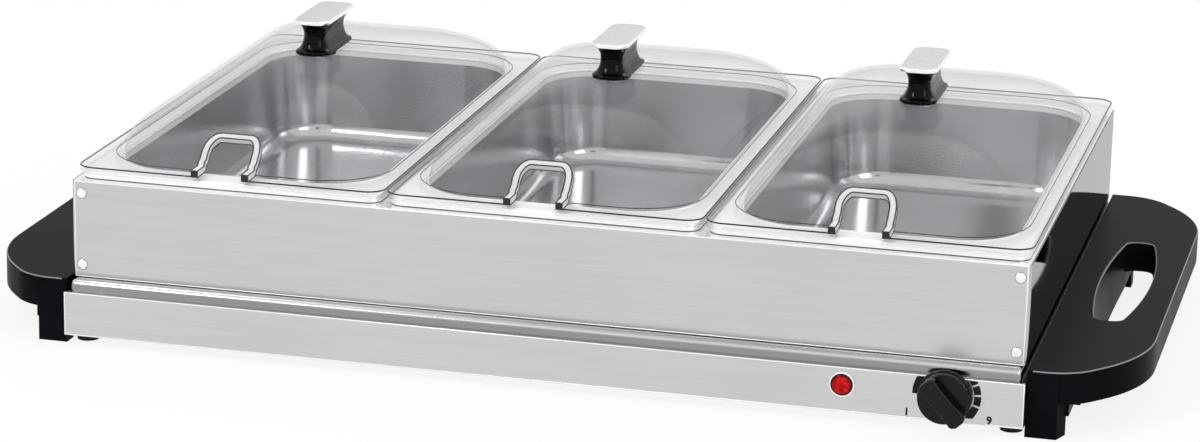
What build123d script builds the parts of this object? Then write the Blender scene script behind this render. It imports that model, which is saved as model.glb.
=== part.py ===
from build123d import *
import math
import os

# A triple buffet server: a heated base tray with two carrying handles, a lift-off frame
# with three windows, and three steel pans, each under its own clear slotted lid.
# Millimetres, +Z up, +X to the right of someone who faces the control, +Y away from them.
# The front is at -Y. Everything stands on z = 0.

# Sheets, fits and running gaps
sheet = 0.8
seat_gap = 0.3
pin_clearance = 0.05
running_clearance = 0.06
overrun = 5.0

# Heights, from the table upwards
foot_height = 4.7
chassis_height = 23.7
tray_rise = 5.8
frame_height = 53.0
pan_rim_height = 3.9
lid_plate = 2.5
dome_height = 34.6

# Lengths and widths of the main pieces
pan_pitch = 170.7
lid_gap = 0.7
lid_depth = 330.0
frame_side_margin = 0.3
frame_front_margin = 4.0
base_side_margin = 1.0
base_front_margin = 11.0
pan_names = ("left", "middle", "right")

# Base chassis and warming tray
chassis_lip = 14.0
tray_front_inset = 2.5
tray_side_inset = 1.4
tray_corner = 3.2
tray_edge_round = 2.6
tray_skirt = 7.5
tray_panel_depth = 0.6
tray_panel_round = 12.0
cover_inset = 3.0
cover_corner = 4.0
vent_count = 9
vent_pitch = 9.0
vent_width = 3.0
vent_length = 46.0
vent_row_offset = 96.0

# Feet and the screws under the base
foot_radius = 7.0
foot_taper = 1.2
foot_edge_inset = 7.8
foot_end_inset = 15.0
foot_recess_radius = 3.6
foot_recess_depth = 2.2
small_screw_radius = 1.6
small_screw_head_radius = 2.9
small_screw_head = 1.4
small_screw_length = 9.0
cover_screw_inset = 10.0
cover_screw_x_share = 0.55

# Handles
handle_gap = 0.3
handle_reach = 56.7
handle_rise = 0.4
handle_end_inset = 4.5
handle_depth = 16.9
handle_wall = 3.0
handle_top_wall = 3.0
handle_edge_round = 1.2
handle_front_x = 22.7
handle_front_slope = 50.0
handle_small_round = 30.0
handle_large_round = 88.0
grip_inner_x = 14.3
grip_inner_end_x = 21.3
grip_outer_x = 42.2
grip_outer_end_x = 34.7
grip_half_y = 77.0
grip_corner = 6.0
grip_wall = 2.5
grip_low_x = 20.7
plinth_width = 20.7
plinth_drop = 25.4
leg_width = 16.0
leg_depth = 9.5
leg_flare = 3.4
inner_leg_y = 106.0
inner_leg_width = 9.0
inner_leg_depth = 10.0
handle_screw_y = 120.0
handle_screw_drop = 14.9
handle_screw_radius = 2.0
handle_screw_head_radius = 3.8
handle_screw_head = 2.2
handle_screw_bite = 10.0
handle_boss_radius = 5.0

# Lift-off frame
deck_window_clearance = 1.2
deck_lip = 10.0
corner_flange = 14.0
side_bend = 1.4
rivet_inset = 5.5
rivet_top_drop = 6.6
rivet_bottom_rise = 7.0
rivet_radius = 1.5
rivet_head_radius = 2.8
rivet_head = 0.7
rivet_tail_radius = 2.4

# Pans
lid_skirt_wall = 1.8
lid_skirt_clearance = 0.5
pan_flange_x = 9.7
pan_flange_y = 14.7
pan_rim_corner = 7.7
pan_mouth_corner = 32.0
pan_depth = 54.0
pan_draft = 5.0
pan_floor_round = 9.0
pan_edge_round = 1.1

# Lids
lid_skirt_drop = 1.5
lid_corner = 10.0
lid_edge_round = 0.8
dome_side_margin = 10.0
dome_end_margin = 14.0
dome_corner = 35.0
dome_top_half_x = 11.5
dome_top_half_y = 28.5
dome_top_corner = 8.0
dome_wall = 2.0
dome_power = 1.8
dome_steps = 9
slot_offset = -4.0
slot_width = 24.0
slot_height = 12.4
slot_corner = 4.0
slot_rib = 4.0
slot_rib_height = 3.0
slot_arch_proud = 2.0
slot_reach = 46.0

# Lid knobs
knob_base_half_x = 10.2
knob_base_half_y = 26.0
knob_waist_half_x = 6.2
knob_waist_half_y = 21.5
knob_top_half_x = 10.0
knob_top_half_y = 27.5
knob_corner = 7.5
knob_corner_share = 0.9
knob_lip = 2.6
knob_height = 18.4
knob_sections = 7
knob_flare_power_share = 0.6
knob_cap_side = 0.5
knob_cap_height = 2.0
knob_cap_round = 0.9
knob_screw_radius = 2.0
knob_screw_bite = 11.0
knob_screw_head_radius = 4.0
knob_screw_head = 2.4
knob_washer_radius = 7.0
knob_washer = 1.5

# Control knob, its dial and the thermostat
dial_x = 217.0
dial_rise = 14.2
dial_outer_radius = 17.6
dial_thin = 3.2
dial_thick = 5.4
dial_gap = 1.1
dial_ink = 0.15
dial_low_cut = 11.3
dial_marks_deg = (184.0, 142.0, 104.0, 66.0, 43.0, 24.0, 4.0, -17.0, -58.0)
control_radius = 14.3
control_skirt = 3.2
control_body_radius = 13.2
control_body = 4.6
control_grip = 6.6
control_grip_width = 10.4
control_nose_share = 0.3
control_pointer = 0.4
control_gap = 0.8
control_rest_deg = -47.0
control_edge_round = 0.6
shaft_radius = 3.0
shaft_flat = 0.8
shaft_bite = 9.0
bush_radius = 4.6
bush_hole_clearance = 0.15
bush_proud = 0.4
thermostat_width = 34.0
thermostat_depth = 22.0
thermostat_height = 15.6
thermostat_setback = 3.8
thermostat_nut_radius = 7.2

# Indicator lamp
lamp_x = 164.0
lamp_rise = 14.7
lamp_radius = 5.8
lamp_proud = 2.6
lamp_bezel_radius = 6.5
lamp_bezel_proud = 1.3
lamp_barrel_radius = 4.4
lamp_barrel_depth = 18.0
lamp_dome_round = 2.0

# Heaters, insulation and shield, fixed to studs under the tray
heater_side_inset = 7.0
heater_corner = 6.0
heater_plate = 1.2
heater_tongue_half_x = 10.0
heater_tongue_length = 14.0
heater_tongue_drop = 13.4
blanket_thickness = 6.0
blanket_front_gap = 4.2
blanket_tongue_gap = 2.8
blanket_end_inset = 4.0
shield_sheet = 0.8
stud_radius = 2.0
stud_length = 13.0
stud_y = 104.0
stud_side_gap = 2.0
stud_hole_clearance = 0.4
nut_radius = 4.0
nut_height = 2.6
cutout_x = 60.0
cutout_y = -60.0
cutout_length = 24.0
cutout_width = 12.0
cutout_drop = 8.0

# Mains entry and wiring
entry_x = 190.0
entry_rise = 13.5
entry_bore = 3.4
entry_body_radius = 5.6
entry_flange_radius = 9.0
entry_flange = 2.0
entry_proud = 9.0
entry_depth = 8.0
entry_taper = 1.2
entry_nut_height = 3.0
entry_nut_radius = 8.6
terminal_x = 100.0
terminal_length = 34.0
terminal_depth = 16.0
terminal_height = 18.0
wire_radius = 1.4
wire_bend = 18.0
wire_lane = 9.0
wire_turn_y = 20.0
wire_run = 52.0

# Places worked out from the sizes above
chassis_bottom = foot_height + sheet
chassis_top = chassis_bottom + chassis_height
tray_top = chassis_top + tray_rise
tray_under = tray_top - sheet
deck_top = tray_top + frame_height
pan_rim_bottom = deck_top + seat_gap
pan_rim_top = pan_rim_bottom + pan_rim_height
lid_under = pan_rim_top + seat_gap
lid_top = lid_under + lid_plate
dome_top = lid_top + dome_height

lid_half_x = (pan_pitch - lid_gap) / 2
lid_half_y = lid_depth / 2
frame_half_x = (len(pan_names) - 1) / 2 * pan_pitch + lid_half_x + frame_side_margin
frame_half_y = lid_half_y + frame_front_margin
base_half_x = frame_half_x + base_side_margin
base_half_y = frame_half_y + base_front_margin
tray_half_x = base_half_x - tray_side_inset - sheet
tray_half_y = base_half_y - tray_front_inset
handle_inner = base_half_x + handle_gap
handle_outer = handle_inner + handle_reach
handle_half_y = base_half_y - handle_end_inset
handle_top = tray_top + handle_rise
handle_low = handle_top - handle_depth
handle_screw_z = handle_top - handle_screw_drop
rim_half_x = lid_half_x - lid_skirt_wall - lid_skirt_clearance
rim_half_y = lid_half_y - lid_skirt_wall - lid_skirt_clearance
mouth_half_x = rim_half_x - pan_flange_x
mouth_half_y = rim_half_y - pan_flange_y
pan_floor = pan_rim_top - pan_depth
dome_half_x = lid_half_x - dome_side_margin
dome_half_y = lid_half_y - dome_end_margin
knob_top = dome_top + knob_height
dial_z = chassis_bottom + dial_rise
lamp_z = chassis_bottom + lamp_rise
entry_z = chassis_bottom + entry_rise
control_back = -base_half_y - control_gap
control_front = control_back - control_skirt - control_body - control_grip
entry_back = base_half_y + entry_proud
panel_under = tray_under - tray_panel_depth
heater_low = panel_under - heater_plate
blanket_low = heater_low - blanket_thickness
shield_low = blanket_low - shield_sheet
wire_z = shield_low - cutout_drop / 2
heater_half_x = mouth_half_x - heater_side_inset
blanket_half_y = base_half_y - thermostat_setback - thermostat_depth - blanket_front_gap
heater_back = blanket_half_y + blanket_tongue_gap + heater_plate
heater_half_y = heater_back - heater_tongue_length
terminal_y = heater_back - terminal_depth
pan_places = [(name, (i - (len(pan_names) - 1) / 2) * pan_pitch) for i, name in enumerate(pan_names)]

# The origin is the bottom centre of the whole object's box, so the model moves back by half
# the difference between what stands out in front and what stands out behind.
origin_shift = -(control_front + entry_back) / 2


def block(x_low, x_high, y_low, y_high, z_low, z_high):
    """A box between two corners."""
    centre = Pos((x_low + x_high) / 2, (y_low + y_high) / 2, (z_low + z_high) / 2)
    return centre * Box(x_high - x_low, y_high - y_low, z_high - z_low)


def z_rod(x, y, z_low, z_high, radius):
    """A round bar along Z."""
    return Pos(x, y, (z_low + z_high) / 2) * Cylinder(radius, z_high - z_low)


def y_rod(x, z, y_low, y_high, radius):
    """A round bar along Y."""
    return Pos(x, (y_low + y_high) / 2, z) * Rot(90, 0, 0) * Cylinder(radius, y_high - y_low)


def x_rod(y, z, x_low, x_high, radius):
    """A round bar along X."""
    return Pos((x_low + x_high) / 2, y, z) * Rot(0, 90, 0) * Cylinder(radius, x_high - x_low)


def slab(half_x, half_y, corner, z_low, z_high, x=0.0):
    """A plate with rounded corners, seen from above."""
    outline = Pos(x, 0, z_low) * RectangleRounded(2 * half_x, 2 * half_y, corner)
    return extrude(outline, z_high - z_low)


def tub(top, low, x=0.0):
    """A straight-sided taper between two rounded rectangles: (half_x, half_y, corner, z)."""
    sections = [
        Pos(x, 0, z) * RectangleRounded(2 * half_x, 2 * half_y, corner)
        for half_x, half_y, corner, z in (low, top)
    ]
    return loft(sections, ruled=True)


def together(pieces):
    """Several separate solids as one node."""
    return Compound([solid for piece in pieces for solid in piece.solids()])


def corners(x, y):
    """The four mirrored places of one point."""
    return [(sx * x, sy * y) for sx in (-1, 1) for sy in (-1, 1)]


def foot_places():
    return corners(base_half_x - foot_edge_inset, base_half_y - foot_end_inset)


def cover_screw_places():
    x = base_half_x * cover_screw_x_share
    return corners(x, base_half_y - cover_screw_inset)


def handle_screw_places():
    return [-handle_screw_y, handle_screw_y]


def stud_places():
    end_x = pan_places[-1][1] + heater_half_x + stud_side_gap + stud_radius
    columns = [-end_x, end_x] + [x + pan_pitch / 2 for _, x in pan_places[:-1]]
    return [(x, y) for x in columns for y in (-stud_y, stud_y)]


def chassis_shell():
    """The folded base: four walls, a lip turned in at the top and a wider one below."""
    outer = block(-base_half_x, base_half_x, -base_half_y, base_half_y, chassis_bottom, chassis_top)
    inner_x = base_half_x - sheet
    inner_y = base_half_y - sheet
    inside = block(-inner_x, inner_x, -inner_y, inner_y, chassis_bottom + sheet, chassis_top - sheet)
    mouth = block(-tray_half_x, tray_half_x, -tray_half_y, tray_half_y,
                  chassis_top - 2 * sheet, chassis_top + overrun)
    low_x = base_half_x - chassis_lip
    low_y = base_half_y - chassis_lip
    opening = block(-low_x, low_x, -low_y, low_y, chassis_bottom - overrun, chassis_bottom + 2 * sheet)
    shell = outer - inside - mouth - opening
    wall_front = -base_half_y - overrun
    shell -= y_rod(dial_x, dial_z, wall_front, -base_half_y + overrun, bush_radius + bush_hole_clearance)
    shell -= y_rod(lamp_x, lamp_z, wall_front, -base_half_y + overrun, lamp_barrel_radius + pin_clearance)
    shell -= y_rod(entry_x, entry_z, base_half_y - overrun, base_half_y + overrun,
                   entry_body_radius + pin_clearance)
    for x, y in foot_places() + cover_screw_places():
        shell -= z_rod(x, y, chassis_bottom - overrun, chassis_bottom + 2 * sheet,
                       small_screw_radius + pin_clearance)
    for y in handle_screw_places():
        shell -= x_rod(y, handle_screw_z, -base_half_x - overrun, base_half_x + overrun,
                       handle_screw_radius + pin_clearance)
    return shell


def tray_plate():
    """The warming tray: a flat top with a shallow pressed panel and a rounded, folded edge."""
    low = tray_top - sheet - tray_skirt
    outer = slab(tray_half_x, tray_half_y, tray_corner, low, tray_top)
    outer = fillet(outer.faces().sort_by(Axis.Z)[-1].edges(), tray_edge_round)
    inner = slab(tray_half_x - sheet, tray_half_y - sheet, tray_corner - sheet, low - overrun, tray_under)
    inner = fillet(inner.faces().sort_by(Axis.Z)[-1].edges(), tray_edge_round - sheet)
    pressed = slab(frame_half_x - tray_panel_round, frame_half_y - tray_panel_round, tray_panel_round,
                   tray_top - tray_panel_depth, tray_top + overrun)
    back = slab(frame_half_x - tray_panel_round + sheet, frame_half_y - tray_panel_round + sheet,
                tray_panel_round + sheet, tray_under - tray_panel_depth, tray_under + sheet / 2)
    tray = outer - inner + back - pressed
    return tray


def bottom_cover():
    """The plate under the base, with two rows of vent slots."""
    half_x = base_half_x - cover_inset
    half_y = base_half_y - cover_inset
    plate = slab(half_x, half_y, cover_corner, foot_height, chassis_bottom)
    for row in (-1, 1):
        for i in range(vent_count):
            x = (i - (vent_count - 1) / 2) * vent_pitch + row * vent_row_offset
            slot = Pos(x, 0, foot_height - overrun) * Rot(0, 0, 90) * SlotOverall(vent_length, vent_width)
            plate -= extrude(slot, sheet + 2 * overrun)
    for x, y in foot_places() + cover_screw_places():
        plate -= z_rod(x, y, foot_height - overrun, chassis_bottom + overrun,
                       small_screw_radius + pin_clearance)
    return plate


def rubber_feet():
    """Four tapered feet, each with a recess for its screw."""
    feet = []
    for x, y in foot_places():
        foot = Pos(x, y, foot_height / 2) * Cone(foot_radius - foot_taper, foot_radius, foot_height)
        foot -= z_rod(x, y, -overrun, foot_recess_depth, foot_recess_radius)
        foot -= z_rod(x, y, -overrun, foot_height + overrun, small_screw_radius + pin_clearance)
        feet.append(foot)
    return together(feet)


def screw_up(x, y, z_head, length):
    """A pan-head screw driven upwards, its head resting against z_head."""
    screw = z_rod(x, y, z_head - small_screw_head, z_head, small_screw_head_radius)
    return screw + z_rod(x, y, z_head - sheet / 2, z_head + length, small_screw_radius)


def foot_screws():
    return together([screw_up(x, y, foot_recess_depth, small_screw_length) for x, y in foot_places()])


def cover_screws():
    places = cover_screw_places()
    return together([screw_up(x, y, foot_height, small_screw_length) for x, y in places])


def handle_outline(shrink=0.0):
    """The right-hand handle seen from above, optionally with its wall taken off."""
    slope = math.radians(handle_front_slope)
    front_x = handle_inner + handle_front_x - shrink * math.tan(slope / 2)
    y = handle_half_y - shrink
    outer = handle_outer - shrink
    rise = (outer - front_x) * math.tan(slope)
    inner = handle_inner + shrink
    points = [(inner, -y), (front_x, -y), (outer, rise - y), (outer, y - rise), (front_x, y), (inner, y)]
    face = make_face(Polyline(*points, close=True))
    small = [v for v in face.vertices() if abs(v.X - front_x) < sheet]
    face = fillet(small, handle_small_round - shrink)
    large = [v for v in face.vertices() if abs(v.X - outer) < sheet]
    return fillet(large, handle_large_round - shrink)


def grip_section(z, grow, inner_x, inner_end_x):
    """The finger opening at one height, optionally larger all round."""
    inner = handle_inner + inner_x - grow
    inner_end = handle_inner + inner_end_x - grow
    outer = handle_inner + grip_outer_x + grow
    outer_end = handle_inner + grip_outer_end_x + grow
    y = grip_half_y + grow
    edge = ThreePointArc((inner_end, -y), (inner, 0), (inner_end, y))
    edge += Line((inner_end, y), (outer_end, y))
    edge += ThreePointArc((outer_end, y), (outer, 0), (outer_end, -y))
    edge += Line((outer_end, -y), (inner_end, -y))
    face = make_face(edge)
    return Pos(0, 0, z) * fillet(face.vertices(), grip_corner + grow)


def grip_hole(grow=0.0):
    """The opening through the handle: its inner side leans out to a straight lower edge."""
    bulge = (grip_inner_end_x - grip_inner_x) / (handle_depth + plinth_drop)
    low = handle_top - plinth_drop
    sections = [
        grip_section(low - overrun, grow, grip_low_x - bulge, grip_low_x + bulge),
        grip_section(handle_top + overrun, grow, grip_inner_x, grip_inner_end_x),
    ]
    return loft(sections, ruled=True)


def right_handle():
    """The moulded handle: a skirted top with a finger opening, a plinth and four short legs."""
    under = handle_top - handle_top_wall
    plinth_low = handle_top - plinth_drop
    plinth_outer = handle_inner + plinth_width
    plinth_y = handle_half_y - leg_depth
    body = extrude(Pos(0, 0, handle_low) * handle_outline(), handle_depth)
    body -= grip_hole()
    top_edges = body.faces().sort_by(Axis.Z)[-1].edges()
    body = fillet([edge for edge in top_edges if edge.center().X > handle_inner + sheet], handle_edge_round)
    hollow_face = Pos(0, 0, handle_low - overrun) * handle_outline(handle_wall)
    hollow = extrude(hollow_face, under - handle_low + overrun)
    body -= hollow - grip_hole(grip_wall)
    plinth = block(handle_inner, plinth_outer, -plinth_y, plinth_y, plinth_low, under)
    inside = block(handle_inner + handle_wall, plinth_outer - handle_wall,
                   handle_wall - plinth_y, plinth_y - handle_wall, plinth_low - overrun, under)
    collar = grip_hole(grip_wall) & block(handle_inner, plinth_outer, -plinth_y, plinth_y, plinth_low, under)
    body += plinth - inside + collar
    for side in (-1, 1):
        leg = Polyline(
            (handle_inner, side * handle_half_y),
            (handle_inner + leg_width, side * handle_half_y),
            (handle_inner + leg_width + leg_flare, side * plinth_y),
            (handle_inner, side * plinth_y),
            close=True,
        )
        body += extrude(make_face(leg), under, dir=(0, 0, 1))
        inner_leg = block(
            plinth_outer - inner_leg_width, plinth_outer,
            min(side * inner_leg_y, side * (inner_leg_y + inner_leg_depth)),
            max(side * inner_leg_y, side * (inner_leg_y + inner_leg_depth)), 0, under,
        )
        body += inner_leg
    for y in handle_screw_places():
        boss_back = handle_inner + handle_wall + handle_screw_bite
        body += x_rod(y, handle_screw_z, base_half_x, boss_back, handle_boss_radius)
        body -= x_rod(y, handle_screw_z, base_half_x - overrun, boss_back - handle_wall,
                      handle_screw_radius + pin_clearance)
    return body - grip_hole()


def handle_screws():
    """Screws from inside the base, through tray skirt level, into the handles' bosses."""
    screws = []
    inside = base_half_x - sheet
    end = handle_inner + handle_screw_bite
    for side in (-1, 1):
        for y in handle_screw_places():
            shank = sorted((side * inside, side * end))
            head = sorted((side * (inside - handle_screw_head), side * inside))
            screw = x_rod(y, handle_screw_z, *shank, handle_screw_radius)
            screws.append(screw + x_rod(y, handle_screw_z, *head, handle_screw_head_radius))
    return together(screws)


def rivet_places():
    x = frame_half_x - rivet_inset
    heights = (deck_top - rivet_top_drop, tray_top + rivet_bottom_rise)
    return [(side * x, z) for side in (-1, 1) for z in heights]


def frame_front_panel():
    """The front sheet of the lift-off frame, drilled for its rivets."""
    half_x = frame_half_x - side_bend
    panel = block(-half_x, half_x, -frame_half_y, sheet - frame_half_y, tray_top + seat_gap, deck_top)
    for x, z in rivet_places():
        panel -= y_rod(x, z, -frame_half_y - overrun, overrun - frame_half_y, rivet_radius + pin_clearance)
    return panel


def frame_back_panel():
    return mirror(frame_front_panel(), Plane.XZ)


def frame_right_panel():
    """A side sheet, bent round both corners into flanges behind the front and the back sheet."""
    half_y = frame_half_y - sheet
    inner = frame_half_x - sheet
    flange_end = frame_half_x - corner_flange
    low = tray_top + seat_gap
    panel = slab(frame_half_x, half_y, side_bend, low, deck_top)
    panel -= slab(inner, half_y - sheet, side_bend - sheet, low - overrun, deck_top + overrun)
    panel -= block(-frame_half_x - overrun, flange_end, -frame_half_y, frame_half_y,
                   low - overrun, deck_top + overrun)
    panel -= block(flange_end - overrun, inner, -frame_half_y, frame_half_y,
                   deck_top - sheet, deck_top + overrun)
    for side in (-1, 1):
        y_low, y_high = sorted((side * half_y, side * (half_y - sheet)))
        for x, z in rivet_places():
            panel -= y_rod(x, z, y_low - overrun, y_high + overrun, rivet_radius + pin_clearance)
    return panel


def frame_left_panel():
    return mirror(frame_right_panel(), Plane.YZ)


def frame_deck():
    """The top sheet, with a window for each pan and lips that stiffen its edges."""
    half_x = frame_half_x - sheet
    half_y = frame_half_y - sheet
    lip_x = frame_half_x - corner_flange
    deck = slab(half_x, half_y, side_bend - sheet, deck_top - sheet, deck_top)
    for side in (-1, 1):
        y_low, y_high = sorted((side * half_y, side * (half_y - sheet)))
        deck += block(-lip_x, lip_x, y_low, y_high, deck_top - deck_lip, deck_top)
        x_low, x_high = sorted((side * half_x, side * (half_x - sheet)))
        lip_y = half_y - 2 * sheet
        deck += block(x_low, x_high, -lip_y, lip_y, deck_top - deck_lip, deck_top)
    grow = sheet + deck_window_clearance
    for _, x in pan_places:
        deck -= slab(mouth_half_x + grow, mouth_half_y + grow, pan_mouth_corner + grow,
                     deck_top - deck_lip, deck_top + overrun, x)
    return deck


def frame_rivets():
    """Eight rivets: a low head outside, a shank through both sheets and a flattened tail."""
    rivets = []
    outside = frame_half_y
    inside = frame_half_y - 2 * sheet
    for side in (-1, 1):
        for x, z in rivet_places():
            head = sorted((side * outside, side * (outside + rivet_head)))
            shank = sorted((side * outside, side * inside))
            tail = sorted((side * inside, side * (inside - rivet_head)))
            rivet = y_rod(x, z, *head, rivet_head_radius)
            rivet += y_rod(x, z, *shank, rivet_radius)
            rivets.append(rivet + y_rod(x, z, *tail, rivet_tail_radius))
    return together(rivets)


def pan(x):
    """A deep-drawn pan with a flat flange and a turned-down rim."""
    rim = slab(rim_half_x, rim_half_y, pan_rim_corner, pan_rim_bottom, pan_rim_top, x)
    rim = fillet(rim.faces().sort_by(Axis.Z)[-1].edges(), pan_edge_round)
    under = slab(rim_half_x - sheet, rim_half_y - sheet, pan_rim_corner - sheet,
                 pan_rim_bottom - overrun, pan_rim_top - sheet, x)
    outside = tub(
        (mouth_half_x + sheet, mouth_half_y + sheet, pan_mouth_corner + sheet, pan_rim_top),
        (mouth_half_x - pan_draft + sheet, mouth_half_y - pan_draft + sheet,
         pan_mouth_corner - pan_draft + sheet, pan_floor - sheet), x,
    )
    outside = fillet(outside.faces().sort_by(Axis.Z)[0].edges(), pan_floor_round + sheet)
    inside = tub(
        (mouth_half_x, mouth_half_y, pan_mouth_corner, pan_rim_top),
        (mouth_half_x - pan_draft, mouth_half_y - pan_draft, pan_mouth_corner - pan_draft, pan_floor), x,
    )
    inside = fillet(inside.faces().sort_by(Axis.Z)[0].edges(), pan_floor_round)
    return rim - under + outside - inside


def dome(grow, low):
    """The lid's dome as a solid: a flat land on top, with shoulders on a superellipse."""
    sections = []
    for i in range(dome_steps):
        turn = math.pi / 2 * i / (dome_steps - 1)
        rise = math.sin(turn) ** (2 / dome_power)
        spread = math.cos(turn) ** (2 / dome_power)
        half_x = dome_top_half_x + (dome_half_x - dome_top_half_x) * spread + grow
        half_y = dome_top_half_y + (dome_half_y - dome_top_half_y) * spread + grow
        corner = dome_top_corner + (dome_corner - dome_top_corner) * spread + grow
        z = lid_top + (dome_height + grow) * rise
        sections.append(Pos(0, 0, z) * RectangleRounded(2 * half_x, 2 * half_y, corner))
    shoulders = loft(sections, ruled=True)
    foot = slab(dome_half_x + grow, dome_half_y + grow, dome_corner + grow, low, lid_top)
    return foot + shoulders


def slot_tool(grow):
    """The doorway for a spoon, cut along Y from the front of the lid into the dome."""
    height = slot_height + lid_plate + 2 * overrun
    plane = Plane(
        origin=(slot_offset, slot_reach - lid_half_y, lid_top + slot_height + grow - height / 2),
        x_dir=(1, 0, 0), z_dir=(0, -1, 0),
    )
    outline = plane * RectangleRounded(slot_width + 2 * grow, height, slot_corner + grow)
    return extrude(outline, slot_reach + (overrun if grow == 0 else 0))


def lid_shell(x):
    """A clear lid: flange, skirt over the pan's rim, dome and a framed spoon slot."""
    plate = slab(lid_half_x, lid_half_y, lid_corner, lid_under - lid_skirt_drop, lid_top)
    plate = fillet(plate.faces().sort_by(Axis.Z)[-1].edges(), lid_edge_round)
    under = slab(lid_half_x - lid_skirt_wall, lid_half_y - lid_skirt_wall, lid_corner - lid_skirt_wall,
                 lid_under - lid_skirt_drop - overrun, lid_under)
    arch = slot_tool(slot_rib)
    ribs = block(-lid_half_x, lid_half_x, -lid_half_y, slot_reach - lid_half_y,
                 lid_under, lid_top + slot_rib_height)
    skin = dome(slot_arch_proud, lid_under) + ribs
    shell = plate - under + dome(0, lid_under) + (arch & skin)
    shell -= dome(-dome_wall, lid_under - lid_skirt_drop - overrun)
    shell -= slot_tool(0)
    shell -= z_rod(0, 0, lid_top, dome_top + overrun, knob_screw_radius + pin_clearance)
    return Pos(x, 0, 0) * shell


def knob_section(z, half_x, half_y):
    corner = min(knob_corner, half_x * knob_corner_share)
    return Pos(0, 0, z) * RectangleRounded(2 * half_x, 2 * half_y, corner)


def knob_body(x):
    """The lid's knob: a lip, then a waist that flares to the cap."""
    lip = extrude(knob_section(dome_top, knob_base_half_x, knob_base_half_y), knob_lip)
    sections = []
    for i in range(knob_sections):
        share = i / (knob_sections - 1)
        draw = math.sin(math.pi * share) ** knob_flare_power_share
        top_x = knob_base_half_x + (knob_top_half_x - knob_base_half_x) * share
        top_y = knob_base_half_y + (knob_top_half_y - knob_base_half_y) * share
        half_x = top_x - (top_x - knob_waist_half_x) * draw
        half_y = top_y - (top_y - knob_waist_half_y) * draw
        z = dome_top + knob_lip + (knob_height - knob_lip) * share
        sections.append(knob_section(z, half_x, half_y))
    body = lip + loft(sections, ruled=True)
    body -= z_rod(0, 0, dome_top - overrun, dome_top + knob_screw_bite + sheet,
                  knob_screw_radius + pin_clearance)
    return Pos(x, 0, 0) * body


def knob_cap(x):
    """The bright cap on a lid's knob."""
    half_x = knob_top_half_x + knob_cap_side
    half_y = knob_top_half_y + knob_cap_side
    cap = extrude(knob_section(knob_top, half_x, half_y), knob_cap_height)
    cap = fillet(cap.faces().sort_by(Axis.Z)[-1].edges(), knob_cap_round)
    return Pos(x, 0, 0) * cap


def knob_washer_piece(x):
    """The soft washer between the dome and the screw's head."""
    top = dome_top - dome_wall
    washer = z_rod(x, 0, top - knob_washer, top, knob_washer_radius)
    return washer - z_rod(x, 0, top - overrun, top + overrun, knob_screw_radius + pin_clearance)


def knob_screw(x):
    """The screw up through the dome into the knob."""
    seat = dome_top - dome_wall - knob_washer
    screw = z_rod(x, 0, seat - knob_screw_head, seat, knob_screw_head_radius)
    return screw + z_rod(x, 0, seat - knob_screw_head / 2, dome_top + knob_screw_bite, knob_screw_radius)


def dial_markings():
    """The printed scale round the control: marks that grow from low to high."""
    start = dial_marks_deg[0]
    sweep = start - dial_marks_deg[-1]
    gap = math.degrees(dial_gap / dial_outer_radius) / 2
    front = Plane(origin=(dial_x, -base_half_y, dial_z), x_dir=(1, 0, 0), z_dir=(0, -1, 0))

    def at(radius, angle):
        return (radius * math.cos(math.radians(angle)), radius * math.sin(math.radians(angle)))

    def inner(angle):
        return dial_outer_radius - dial_thin - (dial_thick - dial_thin) * (start - angle) / sweep

    marks = []
    panel = block(dial_x - 2 * dial_outer_radius, dial_x + 2 * dial_outer_radius,
                  -base_half_y - overrun, -base_half_y,
                  dial_z - dial_low_cut, chassis_top - sheet)
    for first, last in zip(dial_marks_deg, dial_marks_deg[1:]):
        high, low = first - gap, last + gap
        middle = (high + low) / 2
        edge = ThreePointArc(*(at(dial_outer_radius, a) for a in (high, middle, low)))
        edge += Line(at(dial_outer_radius, low), at(inner(low), low))
        edge += ThreePointArc(*(at(inner(a), a) for a in (low, middle, high)))
        edge += Line(at(inner(high), high), at(dial_outer_radius, high))
        mark = extrude(front * make_face(edge), dial_ink) & panel
        marks.append(mark)
    return together([mark for mark in marks if mark and mark.solids()])


def control_knob():
    """The control: a skirt, a round body and a grip bar that ends in a pointer."""
    skirt_front = control_back - control_skirt
    body_front = skirt_front - control_body
    knob = y_rod(0, 0, skirt_front, control_back, control_radius)
    knob = fillet(knob.faces().sort_by(Axis.Y)[0].edges(), control_edge_round)
    body = y_rod(0, 0, body_front, skirt_front, control_body_radius)
    body = fillet(body.faces().sort_by(Axis.Y)[0].edges(), control_edge_round)
    reach = control_radius + control_pointer
    half_width = control_grip_width / 2
    grip = block(-control_body_radius, reach, -half_width, half_width, 0, control_grip)
    round_body = Cylinder(reach, 2 * overrun + control_grip)
    nose = control_grip_width * control_nose_share
    grip = fillet(grip.edges().filter_by(Axis.Z).group_by(Axis.X)[-1], nose)
    grip = fillet(grip.edges().filter_by(Axis.Z).group_by(Axis.X)[0], nose)
    grip = grip & round_body
    grip = fillet(grip.faces().sort_by(Axis.Z)[-1].edges(), control_edge_round)
    bar = Plane(origin=(0, body_front, 0), x_dir=(1, 0, 0), z_dir=(0, -1, 0)) * grip
    knob = knob + body + bar
    knob = Rot(0, -control_rest_deg, 0) * knob
    knob = Pos(dial_x, 0, dial_z) * knob
    socket = y_rod(dial_x, dial_z, control_back - shaft_bite, control_back + overrun,
                   shaft_radius + pin_clearance)
    socket -= block(dial_x - shaft_radius * 2, dial_x + shaft_radius * 2,
                    control_back - shaft_bite - overrun, control_back + overrun,
                    dial_z + shaft_radius - shaft_flat + pin_clearance, dial_z + 2 * shaft_radius)
    return knob - socket


def thermostat_back():
    return thermostat_setback - base_half_y + thermostat_depth


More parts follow.
